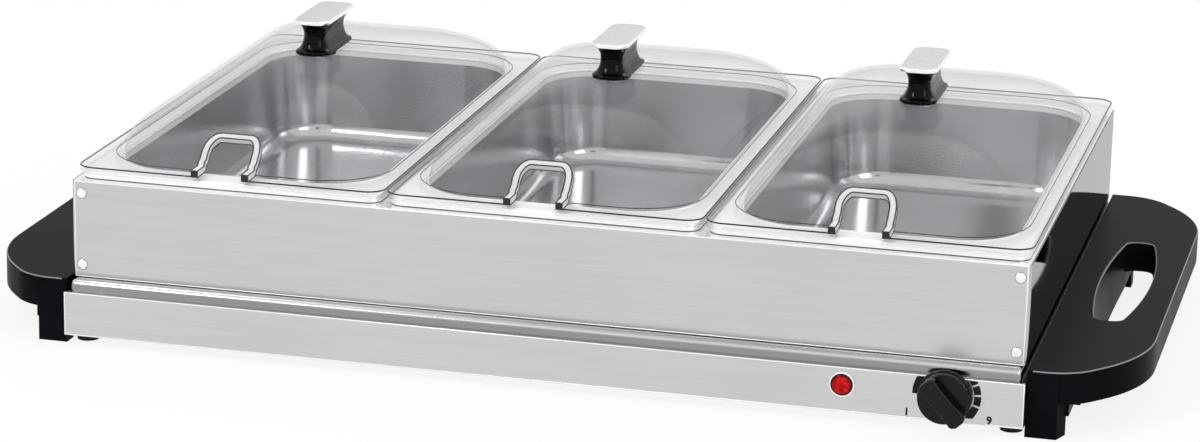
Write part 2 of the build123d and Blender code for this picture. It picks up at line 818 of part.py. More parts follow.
def thermostat_shaft():
    """The shaft that the control turns, flat on one side inside the knob."""
    start = control_back - shaft_bite + pin_clearance
    end = thermostat_setback - base_half_y + thermostat_depth / 2
    shaft = y_rod(dial_x, dial_z, start, end, shaft_radius)
    flat = block(dial_x - shaft_radius * 2, dial_x + shaft_radius * 2, start - overrun, control_back,
                 dial_z + shaft_radius - shaft_flat, dial_z + 2 * shaft_radius)
    return shaft - flat


def thermostat():
    """The thermostat's case, with the bush that comes through the front panel."""
    front = thermostat_setback - base_half_y
    case = block(dial_x - thermostat_width / 2, dial_x + thermostat_width / 2, front, thermostat_back(),
                 dial_z - thermostat_height / 2, dial_z + thermostat_height / 2)
    case += y_rod(dial_x, dial_z, -base_half_y - bush_proud, front + sheet, bush_radius)
    return case - y_rod(dial_x, dial_z, -base_half_y - overrun, front + thermostat_depth / 2 + seat_gap,
                        shaft_radius + running_clearance)


def thermostat_nut():
    """The nut that holds the bush against the inside of the front panel."""
    inside = sheet - base_half_y
    plane = Plane(origin=(dial_x, inside, dial_z), x_dir=(1, 0, 0), z_dir=(0, 1, 0))
    nut = extrude(plane * RegularPolygon(thermostat_nut_radius, 6), thermostat_setback - sheet)
    return nut - y_rod(dial_x, dial_z, -base_half_y - overrun, overrun - base_half_y,
                       bush_radius + pin_clearance)


def lamp_lens():
    """The domed red lens of the indicator lamp."""
    front = -base_half_y - lamp_proud
    lens = y_rod(lamp_x, lamp_z, front, -base_half_y - lamp_bezel_proud / 2, lamp_radius)
    return fillet(lens.faces().sort_by(Axis.Y)[0].edges(), lamp_dome_round - sheet / 2)


def lamp_bezel():
    """The pale ring round the lens."""
    ring = y_rod(lamp_x, lamp_z, -base_half_y - lamp_bezel_proud, -base_half_y, lamp_bezel_radius)
    return ring - y_rod(lamp_x, lamp_z, -base_half_y - overrun, -base_half_y - lamp_bezel_proud / 2,
                        lamp_radius + pin_clearance) - y_rod(
        lamp_x, lamp_z, -base_half_y - overrun, overrun - base_half_y, lamp_barrel_radius + pin_clearance)


def lamp_holder():
    """The lamp's barrel behind the panel."""
    return y_rod(lamp_x, lamp_z, -base_half_y - lamp_bezel_proud / 2, lamp_barrel_depth - base_half_y,
                 lamp_barrel_radius)


def heater(x):
    """A flat heater plate with a folded terminal tongue at the back."""
    plate = slab(heater_half_x, heater_half_y, heater_corner, heater_low, panel_under, x)
    left, right = x - heater_tongue_half_x, x + heater_tongue_half_x
    plate += block(left, right, heater_half_y - heater_corner, heater_back, heater_low, panel_under)
    plate += block(left, right, heater_back - heater_plate, heater_back,
                   panel_under - heater_tongue_drop, panel_under)
    return plate


def stacked_sheet(z_low, z_high):
    """A sheet under the heaters, holed for the studs."""
    half_x = tray_half_x - blanket_end_inset
    plate = block(-half_x, half_x, -blanket_half_y, blanket_half_y, z_low, z_high)
    for x, y in stud_places():
        plate -= z_rod(x, y, z_low - overrun, z_high + overrun, stud_radius + stud_hole_clearance)
    return plate


def heater_studs():
    """Studs welded under the tray."""
    low = panel_under - stud_length
    return together([z_rod(x, y, low, panel_under, stud_radius) for x, y in stud_places()])


def heater_nuts():
    """Nuts that clamp the shield, blanket and heaters up against the tray."""
    nuts = []
    for x, y in stud_places():
        nut = extrude(Pos(x, y, shield_low - nut_height) * RegularPolygon(nut_radius, 6), nut_height)
        nuts.append(nut - z_rod(x, y, shield_low - 2 * nut_height, shield_low, stud_radius + pin_clearance))
    return together(nuts)


def thermal_cutout():
    """The overheat cut-out clipped under the shield."""
    return block(cutout_x - cutout_length / 2, cutout_x + cutout_length / 2,
                 cutout_y - cutout_width / 2, cutout_y + cutout_width / 2,
                 shield_low - cutout_drop, shield_low)


def cord_gland():
    """The bush for the mains cord in the back wall."""
    outside = base_half_y
    gland = y_rod(entry_x, entry_z, base_half_y - entry_depth, outside + entry_flange, entry_body_radius)
    gland += y_rod(entry_x, entry_z, outside, outside + entry_flange, entry_flange_radius)
    plane = Plane(origin=(entry_x, outside + entry_flange, entry_z), x_dir=(1, 0, 0), z_dir=(0, 1, 0))
    nose = loft([
        plane * Circle(entry_body_radius),
        plane.offset(entry_proud - entry_flange) * Circle(entry_body_radius - entry_taper),
    ])
    gland += nose
    return gland - y_rod(entry_x, entry_z, outside - entry_depth - overrun, outside + entry_proud + overrun,
                         entry_bore)


def gland_nut():
    """The nut that holds the gland from inside."""
    inside = base_half_y - sheet
    plane = Plane(origin=(entry_x, inside, entry_z), x_dir=(1, 0, 0), z_dir=(0, -1, 0))
    nut = extrude(plane * RegularPolygon(entry_nut_radius, 6), entry_nut_height)
    return nut - y_rod(entry_x, entry_z, inside - 2 * entry_nut_height, inside + overrun,
                       entry_body_radius + pin_clearance)


def terminal_block():
    """The ceramic block where the mains wires meet the inner wiring."""
    return block(terminal_x, terminal_x + terminal_length, terminal_y, terminal_y + terminal_depth,
                 chassis_bottom, chassis_bottom + terminal_height)


def wire(points):
    """A round wire along straight runs joined by arcs, at the wiring height."""
    path = FilletPolyline(*[(x, y, wire_z) for x, y in points], radius=wire_bend)
    start = points[0]
    ahead = (points[1][0] - start[0], points[1][1] - start[1], 0)
    section = Plane(origin=(start[0], start[1], wire_z), z_dir=ahead) * Circle(wire_radius)
    return sweep(section, path=path)


def thermostat_wire():
    x = terminal_x + terminal_length - wire_lane
    end_x = dial_x - wire_radius
    turn_y = wire_turn_y - wire_run
    return wire([(x, terminal_y), (x, wire_turn_y), (end_x, turn_y), (end_x, thermostat_back())])


def cutout_wire():
    x = terminal_x + wire_lane
    end_y = cutout_y + cutout_width / 2
    return wire([(x, terminal_y), (x, wire_turn_y), (cutout_x, wire_turn_y), (cutout_x, end_y)])


def heater_wire():
    """The straight bus that joins the three heaters' tongues."""
    reach = pan_places[-1][1] + heater_tongue_half_x
    y = heater_back + wire_radius
    z = panel_under - heater_tongue_drop + 2 * wire_radius
    return x_rod(y, z, -reach, reach, wire_radius)


def parts():
    """Every node of the object, by name."""
    found = {
        "chassis_shell": chassis_shell(),
        "tray_plate": tray_plate(),
        "bottom_cover": bottom_cover(),
        "rubber_feet": rubber_feet(),
        "foot_screws": foot_screws(),
        "cover_screws": cover_screws(),
        "handle_screws": handle_screws(),
        "frame_front_panel": frame_front_panel(),
        "frame_back_panel": frame_back_panel(),
        "frame_left_panel": frame_left_panel(),
        "frame_right_panel": frame_right_panel(),
        "frame_deck": frame_deck(),
        "frame_rivets": frame_rivets(),
        "dial_markings": dial_markings(),
        "control_knob": control_knob(),
        "thermostat_shaft": thermostat_shaft(),
        "thermostat": thermostat(),
        "thermostat_nut": thermostat_nut(),
        "lamp_lens": lamp_lens(),
        "lamp_bezel": lamp_bezel(),
        "lamp_holder": lamp_holder(),
        "insulation_blanket": stacked_sheet(blanket_low, heater_low),
        "heat_shield": stacked_sheet(shield_low, blanket_low),
        "heater_studs": heater_studs(),
        "heater_nuts": heater_nuts(),
        "thermal_cutout": thermal_cutout(),
        "cord_gland": cord_gland(),
        "gland_nut": gland_nut(),
        "terminal_block": terminal_block(),
        "thermostat_wire": thermostat_wire(),
        "cutout_wire": cutout_wire(),
        "heater_wire": heater_wire(),
    }
    handle = right_handle()
    found["handle_right"] = handle
    found["handle_left"] = mirror(handle, Plane.YZ)
    for name, x in pan_places:
        found[f"heater_{name}"] = heater(x)
        found[f"pan_{name}"] = pan(x)
        found[f"lid_{name}"] = lid_shell(x)
        found[f"lid_knob_{name}"] = knob_body(x)
        found[f"lid_knob_cap_{name}"] = knob_cap(x)
        found[f"lid_washer_{name}"] = knob_washer_piece(x)
        found[f"lid_screw_{name}"] = knob_screw(x)
    return found


os.makedirs("parts", exist_ok=True)
for node, shape in parts().items():
    export_step(Pos(0, origin_shift, 0) * shape, f"parts/{node}.step")
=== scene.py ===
"""Dresses the triple buffet server for its studio picture.

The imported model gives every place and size. This file adds what the eye looks for: the
finish of each surface, the smooth clear lids with their framed spoon slots, the knobs with
their bright caps, the numbers on the dial, and the studio with its camera.
"""

import logging
import math
from collections.abc import Iterable, Sequence
from dataclasses import dataclass
from enum import Enum

import bmesh
import bpy
from mathutils import Matrix, Vector

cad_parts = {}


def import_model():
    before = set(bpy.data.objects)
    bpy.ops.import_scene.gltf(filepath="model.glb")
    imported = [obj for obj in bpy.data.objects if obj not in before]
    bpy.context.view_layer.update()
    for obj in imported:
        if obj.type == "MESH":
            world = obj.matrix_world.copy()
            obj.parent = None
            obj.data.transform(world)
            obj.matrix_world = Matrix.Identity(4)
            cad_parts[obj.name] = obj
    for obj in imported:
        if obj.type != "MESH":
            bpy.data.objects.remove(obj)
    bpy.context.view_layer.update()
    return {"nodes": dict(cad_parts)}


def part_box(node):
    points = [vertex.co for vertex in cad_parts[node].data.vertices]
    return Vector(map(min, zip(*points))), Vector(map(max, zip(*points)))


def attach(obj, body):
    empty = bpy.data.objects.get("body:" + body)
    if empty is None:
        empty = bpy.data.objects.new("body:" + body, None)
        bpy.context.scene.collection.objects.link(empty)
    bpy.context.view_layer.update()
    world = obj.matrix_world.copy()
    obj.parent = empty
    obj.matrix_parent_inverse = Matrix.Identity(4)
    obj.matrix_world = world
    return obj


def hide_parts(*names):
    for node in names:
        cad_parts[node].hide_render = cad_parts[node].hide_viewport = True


log = logging.getLogger("buffet_server")

MM = 0.001
PAN_NAMES = ("left", "middle", "right")
Colour = tuple[float, float, float]
Flat = tuple[float, float]
Point = tuple[float, float, float]
CLOUD_RANGE: Flat = (0.3, 0.7)
TAIL_SPREAD = 1.6


class Grain(Enum):
    """The way a sheet was brushed, as an index into X, Y and Z."""

    ALONG_X = 0
    ALONG_Y = 1
    ALONG_Z = 2


class Shading(Enum):
    """How a built mesh is shaded: the angle past which an edge stays sharp, in degrees."""

    FLAT = 0.0
    CRISP = 28.0
    SOFT = 50.0
    ROUND = 180.0


class Carving(Enum):
    """What one closed piece does to another."""

    CUT = "DIFFERENCE"
    JOIN = "UNION"


def grey(value: float, blue: float = 0.0) -> Colour:
    """A neutral colour, with a little more blue where it is wanted."""
    return (value, value, value + blue)


class Wire:
    """A node's output, which can stand in a sum."""

    def __init__(self, tree: "Tree", socket: bpy.types.NodeSocket) -> None:
        """Keeps the tree, so that sums can add their own nodes to it.

        Args:
            tree: The tree that holds the node.
            socket: The node's output.
        """
        self.tree = tree
        self.socket = socket

    def _sum(self, operation: str, first: "Wire | float", second: "Wire | float" = 0.0) -> "Wire":
        """Adds one Math node and returns its result."""
        return self.tree.node("ShaderNodeMath", {0: first, 1: second}, operation=operation)

    def __add__(self, other: "Wire | float") -> "Wire":
        """Adds a wire or a number."""
        return self._sum("ADD", self, other)

    def __sub__(self, other: "Wire | float") -> "Wire":
        """Takes a wire or a number away."""
        return self._sum("SUBTRACT", self, other)

    def __rsub__(self, other: float) -> "Wire":
        """Is taken away from a number."""
        return self._sum("SUBTRACT", other, self)

    def __mul__(self, other: "Wire | float") -> "Wire":
        """Multiplies by a wire or a number."""
        return self._sum("MULTIPLY", self, other)

    def __pow__(self, other: float) -> "Wire":
        """Raises to a power."""
        return self._sum("POWER", self, other)

    def __gt__(self, other: float) -> "Wire":
        """Is 1 where it is above the limit, and 0 elsewhere."""
        return self._sum("GREATER_THAN", self, other)

    def __abs__(self) -> "Wire":
        """Drops the sign."""
        return self._sum("ABSOLUTE", self)

    __radd__ = __add__
    __rmul__ = __mul__

    def ramp(self, low: float, high: float) -> "Wire":
        """Rises smoothly from 0 at low to 1 at high."""
        inputs = {"Value": self, "From Min": low, "From Max": high}
        return self.tree.node("ShaderNodeMapRange", inputs, interpolation_type="SMOOTHSTEP")

    def about(self, middle: "Wire | float", swing: float) -> "Wire":
        """Turns a noise of 0 to 1 into a number that swings about its middle."""
        return (self - 0.5) * (2.0 * swing) + middle


class Tree:
    """Adds nodes to a shader or geometry tree and links them."""

    def __init__(self, tree: bpy.types.NodeTree) -> None:
        """Wraps a tree.

        Args:
            tree: The tree that gets the nodes.
        """
        self.tree = tree

    def node(self, kind: str, inputs: dict[str | int, object] | None = None, output: str | int = 0,
             **settings: object) -> Wire | None:
        """Adds one node.

        Args:
            kind: The node's type.
            inputs: A wire, a value or a colour without alpha for each named or numbered input.
            output: The name or number of the output wanted.
            settings: The node's own settings, which are set first.

        Returns:
            That output as a wire, or None where the node has no outputs.
        """
        made = self.tree.nodes.new(kind)
        for name, value in settings.items():
            setattr(made, name, value)
        for key, value in (inputs or {}).items():
            socket = made.inputs[key]
            if isinstance(value, Wire):
                self.tree.links.new(value.socket, socket)
            elif isinstance(value, tuple) and len(value) < len(socket.default_value):
                socket.default_value = (*value, 1.0)
            else:
                socket.default_value = value
        return Wire(self, made.outputs[output]) if made.outputs else None

    def blend(self, share: Wire | float, first: Wire | Colour, second: Wire | Colour) -> Wire:
        """Mixes two colours: a share of 0 is all the first, and 1 is all the second."""
        return self.node("ShaderNodeMix", {0: share, 6: first, 7: second}, 2, data_type="RGBA")

    def part(self, source: str, axis: str) -> Wire:
        """One axis of a texture coordinate, such as the Z of Normal: how far the surface faces up."""
        place = self.node("ShaderNodeTexCoord", output=source)
        return self.node("ShaderNodeSeparateXYZ", {"Vector": place}, axis)

    def noise(self, scales: Point | float, detail: float = 2.0, shift: float = 0.0) -> Wire:
        """Cloudy noise on the object's own coordinates.

        Args:
            scales: Repeats per metre along X, Y and Z, or one number for all three.
            detail: How many finer layers it has.
            shift: Moves the pattern, so that two of them differ.

        Returns:
            The noise, around one half.
        """
        scales = (scales,) * 3 if isinstance(scales, float) else scales
        place = self.node("ShaderNodeTexCoord", output="Object")
        spot = self.node("ShaderNodeMapping", {"Vector": place, "Location": (shift,) * 3, "Scale": scales})
        return self.node("ShaderNodeTexNoise", {"Vector": spot, "Scale": 1.0, "Detail": detail})

    def clouded(self, cloud: Wire, colour: Colour, dark: float) -> Wire:
        """A colour that a noise darkens, down to a share of itself."""
        return self.blend(cloud.ramp(*CLOUD_RANGE), tuple(c * dark for c in colour), colour)

    def bump(self, height: Wire, distance: float) -> Wire:
        """Turns a height of 0 to 1 into a bent normal; the distance is what 1 stands for, in metres."""
        return self.node("ShaderNodeBump", {"Height": height, "Distance": distance})


def emptied(owner: bpy.types.Material | bpy.types.World) -> Tree:
    """Starts a material's or world's own tree from nothing.

    Args:
        owner: The material or world.

    Returns:
        Its tree.
    """
    owner.use_nodes = True
    owner.node_tree.nodes.clear()
    return Tree(owner.node_tree)


@dataclass(frozen=True)
class Finish:
    """What every finish shares: a name, and a way to become a material once."""

    name: str

    def sockets(self, tree: Tree) -> dict[str, object]:
        """Fills the Principled shader's sockets; each finish has its own way."""
        raise NotImplementedError

    def surface(self, tree: Tree) -> Wire:
        """Builds the shader."""
        return tree.node("ShaderNodeBsdfPrincipled", self.sockets(tree))

    def material(self) -> bpy.types.Material:
        """Makes the material at the first call.

        Returns:
            The material.
        """
        title = f"{self.name}_look"
        made = bpy.data.materials.get(title)
        if made is None:
            made = bpy.data.materials.new(title)
            tree = emptied(made)
            tree.node("ShaderNodeOutputMaterial", {"Surface": self.surface(tree)})
        return made

    def paint(self, piece: bpy.types.Object) -> None:
        """Gives the material to every slot of a piece.

        Args:
            piece: The object to paint.
        """
        made = self.material()
        slots = piece.data.materials
        if not slots:
            slots.append(made)
        for index in range(len(slots)):
            slots[index] = made


@dataclass(frozen=True)
class Brushed(Finish):
    """Sheet steel brushed one way: long fine streaks, broad bands and faint smudges.

    Upright faces take the skirt colour, a painted shade; the gap colour is a painted shadow behind a
    handle; and a painted shade strip runs along the lower edge of the named node.
    """

    colour: Colour = grey(0.60)
    skirt: Colour | None = None
    skirt_range: Flat = (0.15, 0.75)
    grain: Grain = Grain.ALONG_X
    roughness: float = 0.32
    roughness_swing: float = 0.05
    shade_swing: float = 0.045
    streak_length: float = 50.0 * MM
    streak_width: float = 0.5 * MM
    band_length: float = 3.0
    band_width: float = 7.0
    band_shift: float = 3.7
    smudge_scale: float = 9.0
    smudge_shift: float = 1.3
    fine_share: float = 0.45
    band_share: float = 0.25
    smudge_share: float = 0.30
    wear_range: Flat = (0.36, 0.64)
    relief: float = 0.0012 * MM
    edge_tint: float = 1.0
    gap_from: float | None = None
    gap_back: float = -174.5 * MM
    gap_painted_shadow: Colour = grey(0.01, 0.001)
    low_shade_node: str | None = None
    low_shade_height: float = 3.6 * MM
    low_shade_colour: Colour = grey(0.40)

    def streaks(self, tree: Tree, longer: float, wider: float, shift: float) -> Wire:
        """Noise drawn out along the grain.

        Args:
            tree: The shader tree.
            longer: How many times the usual streak's length.
            wider: How many times its width.
            shift: Moves the pattern.

        Returns:
            The noise.
        """
        scales = [1.0 / (self.streak_width * wider)] * 3
        scales[self.grain.value] = 1.0 / (self.streak_length * longer)
        return tree.noise(tuple(scales), detail=3.0, shift=shift)

    def shades(self, tree: Tree, share: float) -> Wire | Colour:
        """The steel's colour times a share, darker on upright faces, a painted shade, where a skirt colour is
        given.

        Args:
            tree: The shader tree.
            share: The multiplier.

        Returns:
            The colour, or a wire that carries it.
        """
        flat = tuple(min(1.0, c * share) for c in self.colour)
        if self.skirt is None:
            return flat
        # Painted shade: upright faces take the darker skirt colour.
        upright = tuple(c * share for c in self.skirt)
        return tree.blend(tree.part("Normal", "Z").ramp(*self.skirt_range), upright, flat)

    def sockets(self, tree: Tree) -> dict[str, object]:
        """Fills the sockets of brushed steel.

        Args:
            tree: The shader tree.

        Returns:
            The Principled shader's inputs.
        """
        fine = self.streaks(tree, 1.0, 1.0, 0.0)
        bands = self.streaks(tree, self.band_length, self.band_width, self.band_shift)
        smudges = tree.noise(self.smudge_scale, shift=self.smudge_shift)
        wear = fine * self.fine_share + bands * self.band_share + smudges * self.smudge_share
        shade = tree.blend(wear.ramp(*self.wear_range), self.shades(tree, 1.0 - self.shade_swing),
                           self.shades(tree, 1.0 + self.shade_swing))
        # Painted shadow: the gap colour darkens the sheet beside each handle, past gap_from in X and behind
        # gap_back in Y.
        if self.gap_from is not None:
            out = abs(tree.part("Object", "X")) > self.gap_from
            shade = tree.blend(out * (tree.part("Object", "Y") > self.gap_back), shade, self.gap_painted_shadow)
        # Painted shade: a darker strip just above the named node's lower edge.
        if self.low_shade_node is not None:
            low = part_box(self.low_shade_node)[0].z
            above = tree.part("Object", "Z").ramp(low, low + self.low_shade_height)
            shade = tree.blend(1.0 - above, shade, self.low_shade_colour)
        return {"Base Color": shade, "Metallic": 1.0, "Specular Tint": grey(self.edge_tint),
                "Roughness": wear.about(self.roughness, self.roughness_swing),
                "Normal": tree.bump(fine, self.relief)}


@dataclass(frozen=True)
class BrightMetal(Finish):
    """Smooth metal with faint clouds in its polish."""

    colour: Colour = grey(0.75)
    roughness: float = 0.16
    roughness_swing: float = 0.05
    cloud_size: float = 20.0 * MM
    cloud_shade: float = 0.93
    metallic: float = 1.0

    def sockets(self, tree: Tree) -> dict[str, object]:
        """Fills the sockets of polished metal."""
        cloud = tree.noise(1.0 / self.cloud_size, detail=4.0)
        return {"Base Color": tree.clouded(cloud, self.colour, self.cloud_shade), "Metallic": self.metallic,
                "Roughness": cloud.about(self.roughness, self.roughness_swing)}


@dataclass(frozen=True)
class PanSteel(Finish):
    """A deep-drawn pan: a satin flange round smoother walls; the flange's pale colour is painted light and
    the walls' darker colour painted shade.
    """

    flange: Colour = grey(0.96, 0.005)
    well: Colour = grey(0.56, 0.01)
    well_shade: float = 0.95
    flange_from: float = 88.2 * MM
    flange_step: float = 0.3 * MM
    flange_metal: float = 0.30
    cloud_scale: float = 40.0
    satin: float = 0.30
    polish: float = 0.17
    polish_swing: float = 0.025

    def sockets(self, tree: Tree) -> dict[str, object]:
        """Fills the sockets of a pan, whose flange is what lies above the deck.

        Args:
            tree: The shader tree.

        Returns:
            The Principled shader's inputs.
        """
        over = tree.part("Object", "Z").ramp(self.flange_from, self.flange_from + self.flange_step)
        cloud = tree.noise(self.cloud_scale, detail=3.0)
        # Painted light and shade: the flange above the deck is paler and the well darker, though both are one
        # steel.
        return {"Base Color": tree.blend(over, tree.clouded(cloud, self.well, self.well_shade), self.flange),
                "Metallic": 1.0 - over * (1.0 - self.flange_metal),
                "Roughness": cloud.about(over * (self.satin - self.polish) + self.polish, self.polish_swing)}


@dataclass(frozen=True)
class CapSteel(Finish):
    """The knob's cap: a satin top face inside a polished rim, whose paler colour is a painted highlight."""

    colour: Colour = grey(0.50)
    rim: Colour = grey(0.88, 0.01)
    satin: float = 0.28
    satin_swing: float = 0.03
    polish: float = 0.05
    flat_range: Flat = (0.955, 0.985)
    grain: Point = (700.0, 40.0, 700.0)

    def sockets(self, tree: Tree) -> dict[str, object]:
        """Fills the sockets of the cap, whose face that looks up is satin.

        Args:
            tree: The shader tree.

        Returns:
            The Principled shader's inputs.
        """
        flat = tree.part("Normal", "Z").ramp(*self.flat_range)
        satin = tree.noise(self.grain).about(self.satin - self.polish, self.satin_swing)
        # Painted highlight: where the face turns from flat, the cap takes the paler rim colour.
        return {"Base Color": tree.blend(flat, self.rim, self.colour), "Metallic": 1.0,
                "Roughness": flat * satin + self.polish}


@dataclass(frozen=True)
class Moulded(Finish):
    """Moulded plastic or rubber: a fine texture, faint handling marks and a painted highlight on edges.

    The edge colour is a painted highlight: it shows only where the surface turns away from facing up,
    past a distance from the object's middle.
    """

    colour: Colour = (0.02, 0.02, 0.022)
    edge: Colour | None = None
    edge_from: float = 0.0
    edge_range: Flat = (0.30, 0.62)
    top_range: Flat = (0.80, 0.97)
    gloss: float = 0.5
    roughness: float = 0.38
    roughness_swing: float = 0.06
    texture_size: float = 0.5 * MM
    mark_scale: float = 22.0
    mark_shift: float = 5.1
    mark_range: Flat = (0.35, 0.7)
    mark_gain: float = 1.25
    mark_lift: float = 0.001
    highlight_swing: float = 0.8
    highlight_floor: float = 0.6
    relief: float = 0.02 * MM

    def sockets(self, tree: Tree) -> dict[str, object]:
        """Fills the sockets of moulded plastic.

        Args:
            tree: The shader tree.

        Returns:
            The Principled shader's inputs.
        """
        texture = tree.noise(1.0 / self.texture_size)
        marks = tree.noise(self.mark_scale, detail=3.0, shift=self.mark_shift)
        light = tuple(min(1.0, c * self.mark_gain + self.mark_lift) for c in self.colour)
        shade = tree.blend(marks.ramp(*self.mark_range), self.colour, light)
        # Painted highlight: the edge colour lights rounded edges, varied a little by the handling marks.
        if self.edge is not None:
            up = tree.part("Normal", "Z")
            painted_highlight_band = up.ramp(*self.edge_range) * (1.0 - up.ramp(*self.top_range))
            out = abs(tree.part("Object", "X")) > self.edge_from
            wear = out * painted_highlight_band * (marks * self.highlight_swing + self.highlight_floor)
            shade = tree.blend(wear, shade, self.edge)
        return {"Base Color": shade, "Roughness": marks.about(self.roughness, self.roughness_swing),
                "Specular IOR Level": self.gloss, "Normal": tree.bump(texture, self.relief)}


@dataclass(frozen=True)
class ClearMoulding(Finish):
    """Clear plastic: a faint film head-on that thickens to a glossy edge when seen aslant."""

    tint: Colour = (0.988, 0.99, 0.992)
    film_colour: Colour = (0.42, 0.43, 0.45)
    film: float = 0.028
    film_swing: float = 0.006
    edge: float = 0.50
    edge_power: float = 4.6
    roughness: float = 0.04
    haze_scale: float = 30.0

    def surface(self, tree: Tree) -> Wire:
        """Builds the clear shader from a transparent and a glossy part.

        Args:
            tree: The shader tree.

        Returns:
            The shader.
        """
        haze = tree.noise(self.haze_scale, detail=3.0)
        gloss = tree.node("ShaderNodeBsdfPrincipled", {
            "Base Color": self.film_colour,
            "Roughness": haze * self.roughness + self.roughness,
        })
        clear = tree.node("ShaderNodeBsdfTransparent", {"Color": self.tint})
        aslant = tree.node("ShaderNodeLayerWeight", {"Blend": 0.5}, "Facing")
        share = haze.about((aslant ** self.edge_power) * self.edge + self.film, self.film_swing)
        return tree.node("ShaderNodeMixShader", {0: share, 1: clear, 2: gloss})


@dataclass(frozen=True)
class RedLens(Finish):
    """The lamp's red lens: small facets in varied reds as painted highlight and shade, and a rim in painted
    shade.
    """

    facet_size: float = 1.9 * MM
    spread: str = "spread"
    bright: Colour = (0.68, 0.008, 0.010)
    middling: Colour = (0.42, 0.0, 0.001)
    deep: Colour = (0.26, 0.0, 0.001)
    rim: Colour = (0.030, 0.0, 0.001)
    bright_range: Flat = (0.30, 1.0)
    deep_range: Flat = (0.0, 0.35)
    painted_rim_range: Flat = (0.70, 0.92)
    roughness: float = 0.05
    gloss: float = 0.12

    def sockets(self, tree: Tree) -> dict[str, object]:
        """Fills the sockets of the lens.

        Args:
            tree: The shader tree.

        Returns:
            The Principled shader's inputs.
        """
        place = tree.node("ShaderNodeTexCoord", output="Object")
        cells = {"Vector": place, "Scale": 1.0 / self.facet_size}
        hue = tree.node("ShaderNodeTexVoronoi", cells, "Color")
        facets = tree.node("ShaderNodeSeparateColor", {"Color": hue}, "Red")
        spread = tree.node("ShaderNodeAttribute", output="Fac", attribute_name=self.spread)
        # Painted highlight and shade: facets vary from deep to bright red, and the rim, by the spread, takes
        # the dark rim colour.
        inner = tree.blend(facets.ramp(*self.bright_range), self.middling, self.bright)
        inner = tree.blend(facets.ramp(*self.deep_range), self.deep, inner)
        return {"Base Color": tree.blend(spread.ramp(*self.painted_rim_range), inner, self.rim),
                "Roughness": self.roughness, "Specular IOR Level": self.gloss}


@dataclass(frozen=True)
class Fibre(Finish):
    """A pressed mineral fibre blanket."""

    colour: Colour = (0.80, 0.77, 0.66)
    shade: float = 0.7
    fibres: Point = (900.0, 120.0, 900.0)
    roughness: float = 0.95
    relief: float = 0.6 * MM

    def sockets(self, tree: Tree) -> dict[str, object]:
        """Fills the sockets of the blanket."""
        fibres = tree.noise(self.fibres, detail=6.0)
        return {"Base Color": tree.clouded(fibres, self.colour, self.shade), "Roughness": self.roughness,
                "Normal": tree.bump(fibres, self.relief)}


# The front and back sheets get a painted shade strip above the front panel's lower edge.
FRONT_STEEL = Brushed("front_steel", low_shade_node="frame_front_panel")
# Base and tray: the colour past gap_from is a painted shadow in the gap beside each handle.
BASE_STEEL = Brushed("base_steel", colour=grey(0.62), roughness=0.30, gap_from=254.9 * MM)
# The tray's skirt colour is a painted shade on its upright faces.
TRAY_STEEL = Brushed("tray_steel", colour=grey(0.62, 0.01), skirt=grey(0.30, 0.005), roughness=0.20,
                     roughness_swing=0.02, relief=0.0003 * MM, gap_from=254.5 * MM, gap_back=-171.0 * MM)
DECK_STEEL = Brushed("deck_steel", colour=grey(0.82, 0.01), grain=Grain.ALONG_Y, roughness=0.26)
# Painted shade: the side sheets' colour is set darker than the front's against the bright floor they mirror;
# their polish is real.
SIDE_STEEL = Brushed("side_steel", colour=grey(0.52, 0.015), grain=Grain.ALONG_Z, roughness=0.045,
                     roughness_swing=0.015, shade_swing=0.02, relief=0.0001 * MM, edge_tint=0.58)
PAN_STEEL = PanSteel("pan_steel")
# Painted highlight: the folds' near-white colour stands in for light caught on each real bend.
FOLD_HIGHLIGHT_STEEL = BrightMetal("fold_painted_highlight", colour=grey(0.97), roughness=0.30, metallic=0.55)
ROLL_STEEL = BrightMetal("roll_steel", colour=grey(0.86, 0.01), roughness=0.08)
RIVET_STEEL = BrightMetal("rivet_steel", colour=grey(0.95), roughness=0.30, metallic=0.5)
SHADOW_STEEL = BrightMetal("shadow_steel", colour=grey(0.16, 0.005), roughness=0.35)
PLATED_STEEL = BrightMetal("plated_steel", colour=(0.62, 0.63, 0.64), roughness=0.28)
MILL_STEEL = BrightMetal("mill_steel", colour=(0.55, 0.57, 0.58), roughness=0.42, cloud_size=8.0 * MM)
FOIL = BrightMetal("heater_foil", colour=grey(0.72, -0.02), roughness=0.36, cloud_size=4.0 * MM)
TURNED_BRASS = BrightMetal("turned_brass", colour=(0.70, 0.53, 0.25), roughness=0.24)
CAP_STEEL = CapSteel("knob_cap_steel")
# The handles' edge colour is a painted highlight along their rounded outer edges.
HANDLE_BLACK = Moulded("handle_black", colour=(0.0045, 0.0043, 0.006), edge=grey(0.30, 0.01),
                       edge_from=260.0 * MM, gloss=0.012, roughness=0.36)
CONTROL_BLACK = Moulded("control_black", colour=grey(0.0025, 0.001), gloss=0.20, roughness=0.20)
KNOB_BLACK = Moulded("knob_black", colour=grey(0.0015, 0.0005), gloss=0.10, roughness=0.05,
                     roughness_swing=0.02, relief=0.0005 * MM)
RUBBER = Moulded("rubber", colour=grey(0.012), gloss=0.2, roughness=0.75, relief=0.06 * MM)
INK = Moulded("dial_ink", colour=grey(0.004), gloss=0.2, roughness=0.45, relief=0.004 * MM)
BEZEL = Moulded("lamp_bezel", colour=(0.88, 0.86, 0.85), roughness=0.18, relief=0.002 * MM)
DARK_MOULDING = Moulded("phenolic", colour=(0.055, 0.028, 0.016), roughness=0.42)
CERAMIC = Moulded("ceramic", colour=(0.74, 0.71, 0.62), roughness=0.62, texture_size=1.2 * MM,
                  relief=0.04 * MM)
PALE_SLEEVE = Moulded("pale_sleeve", colour=(0.62, 0.60, 0.54), roughness=0.6, texture_size=1.0 * MM,
                      relief=0.1 * MM)
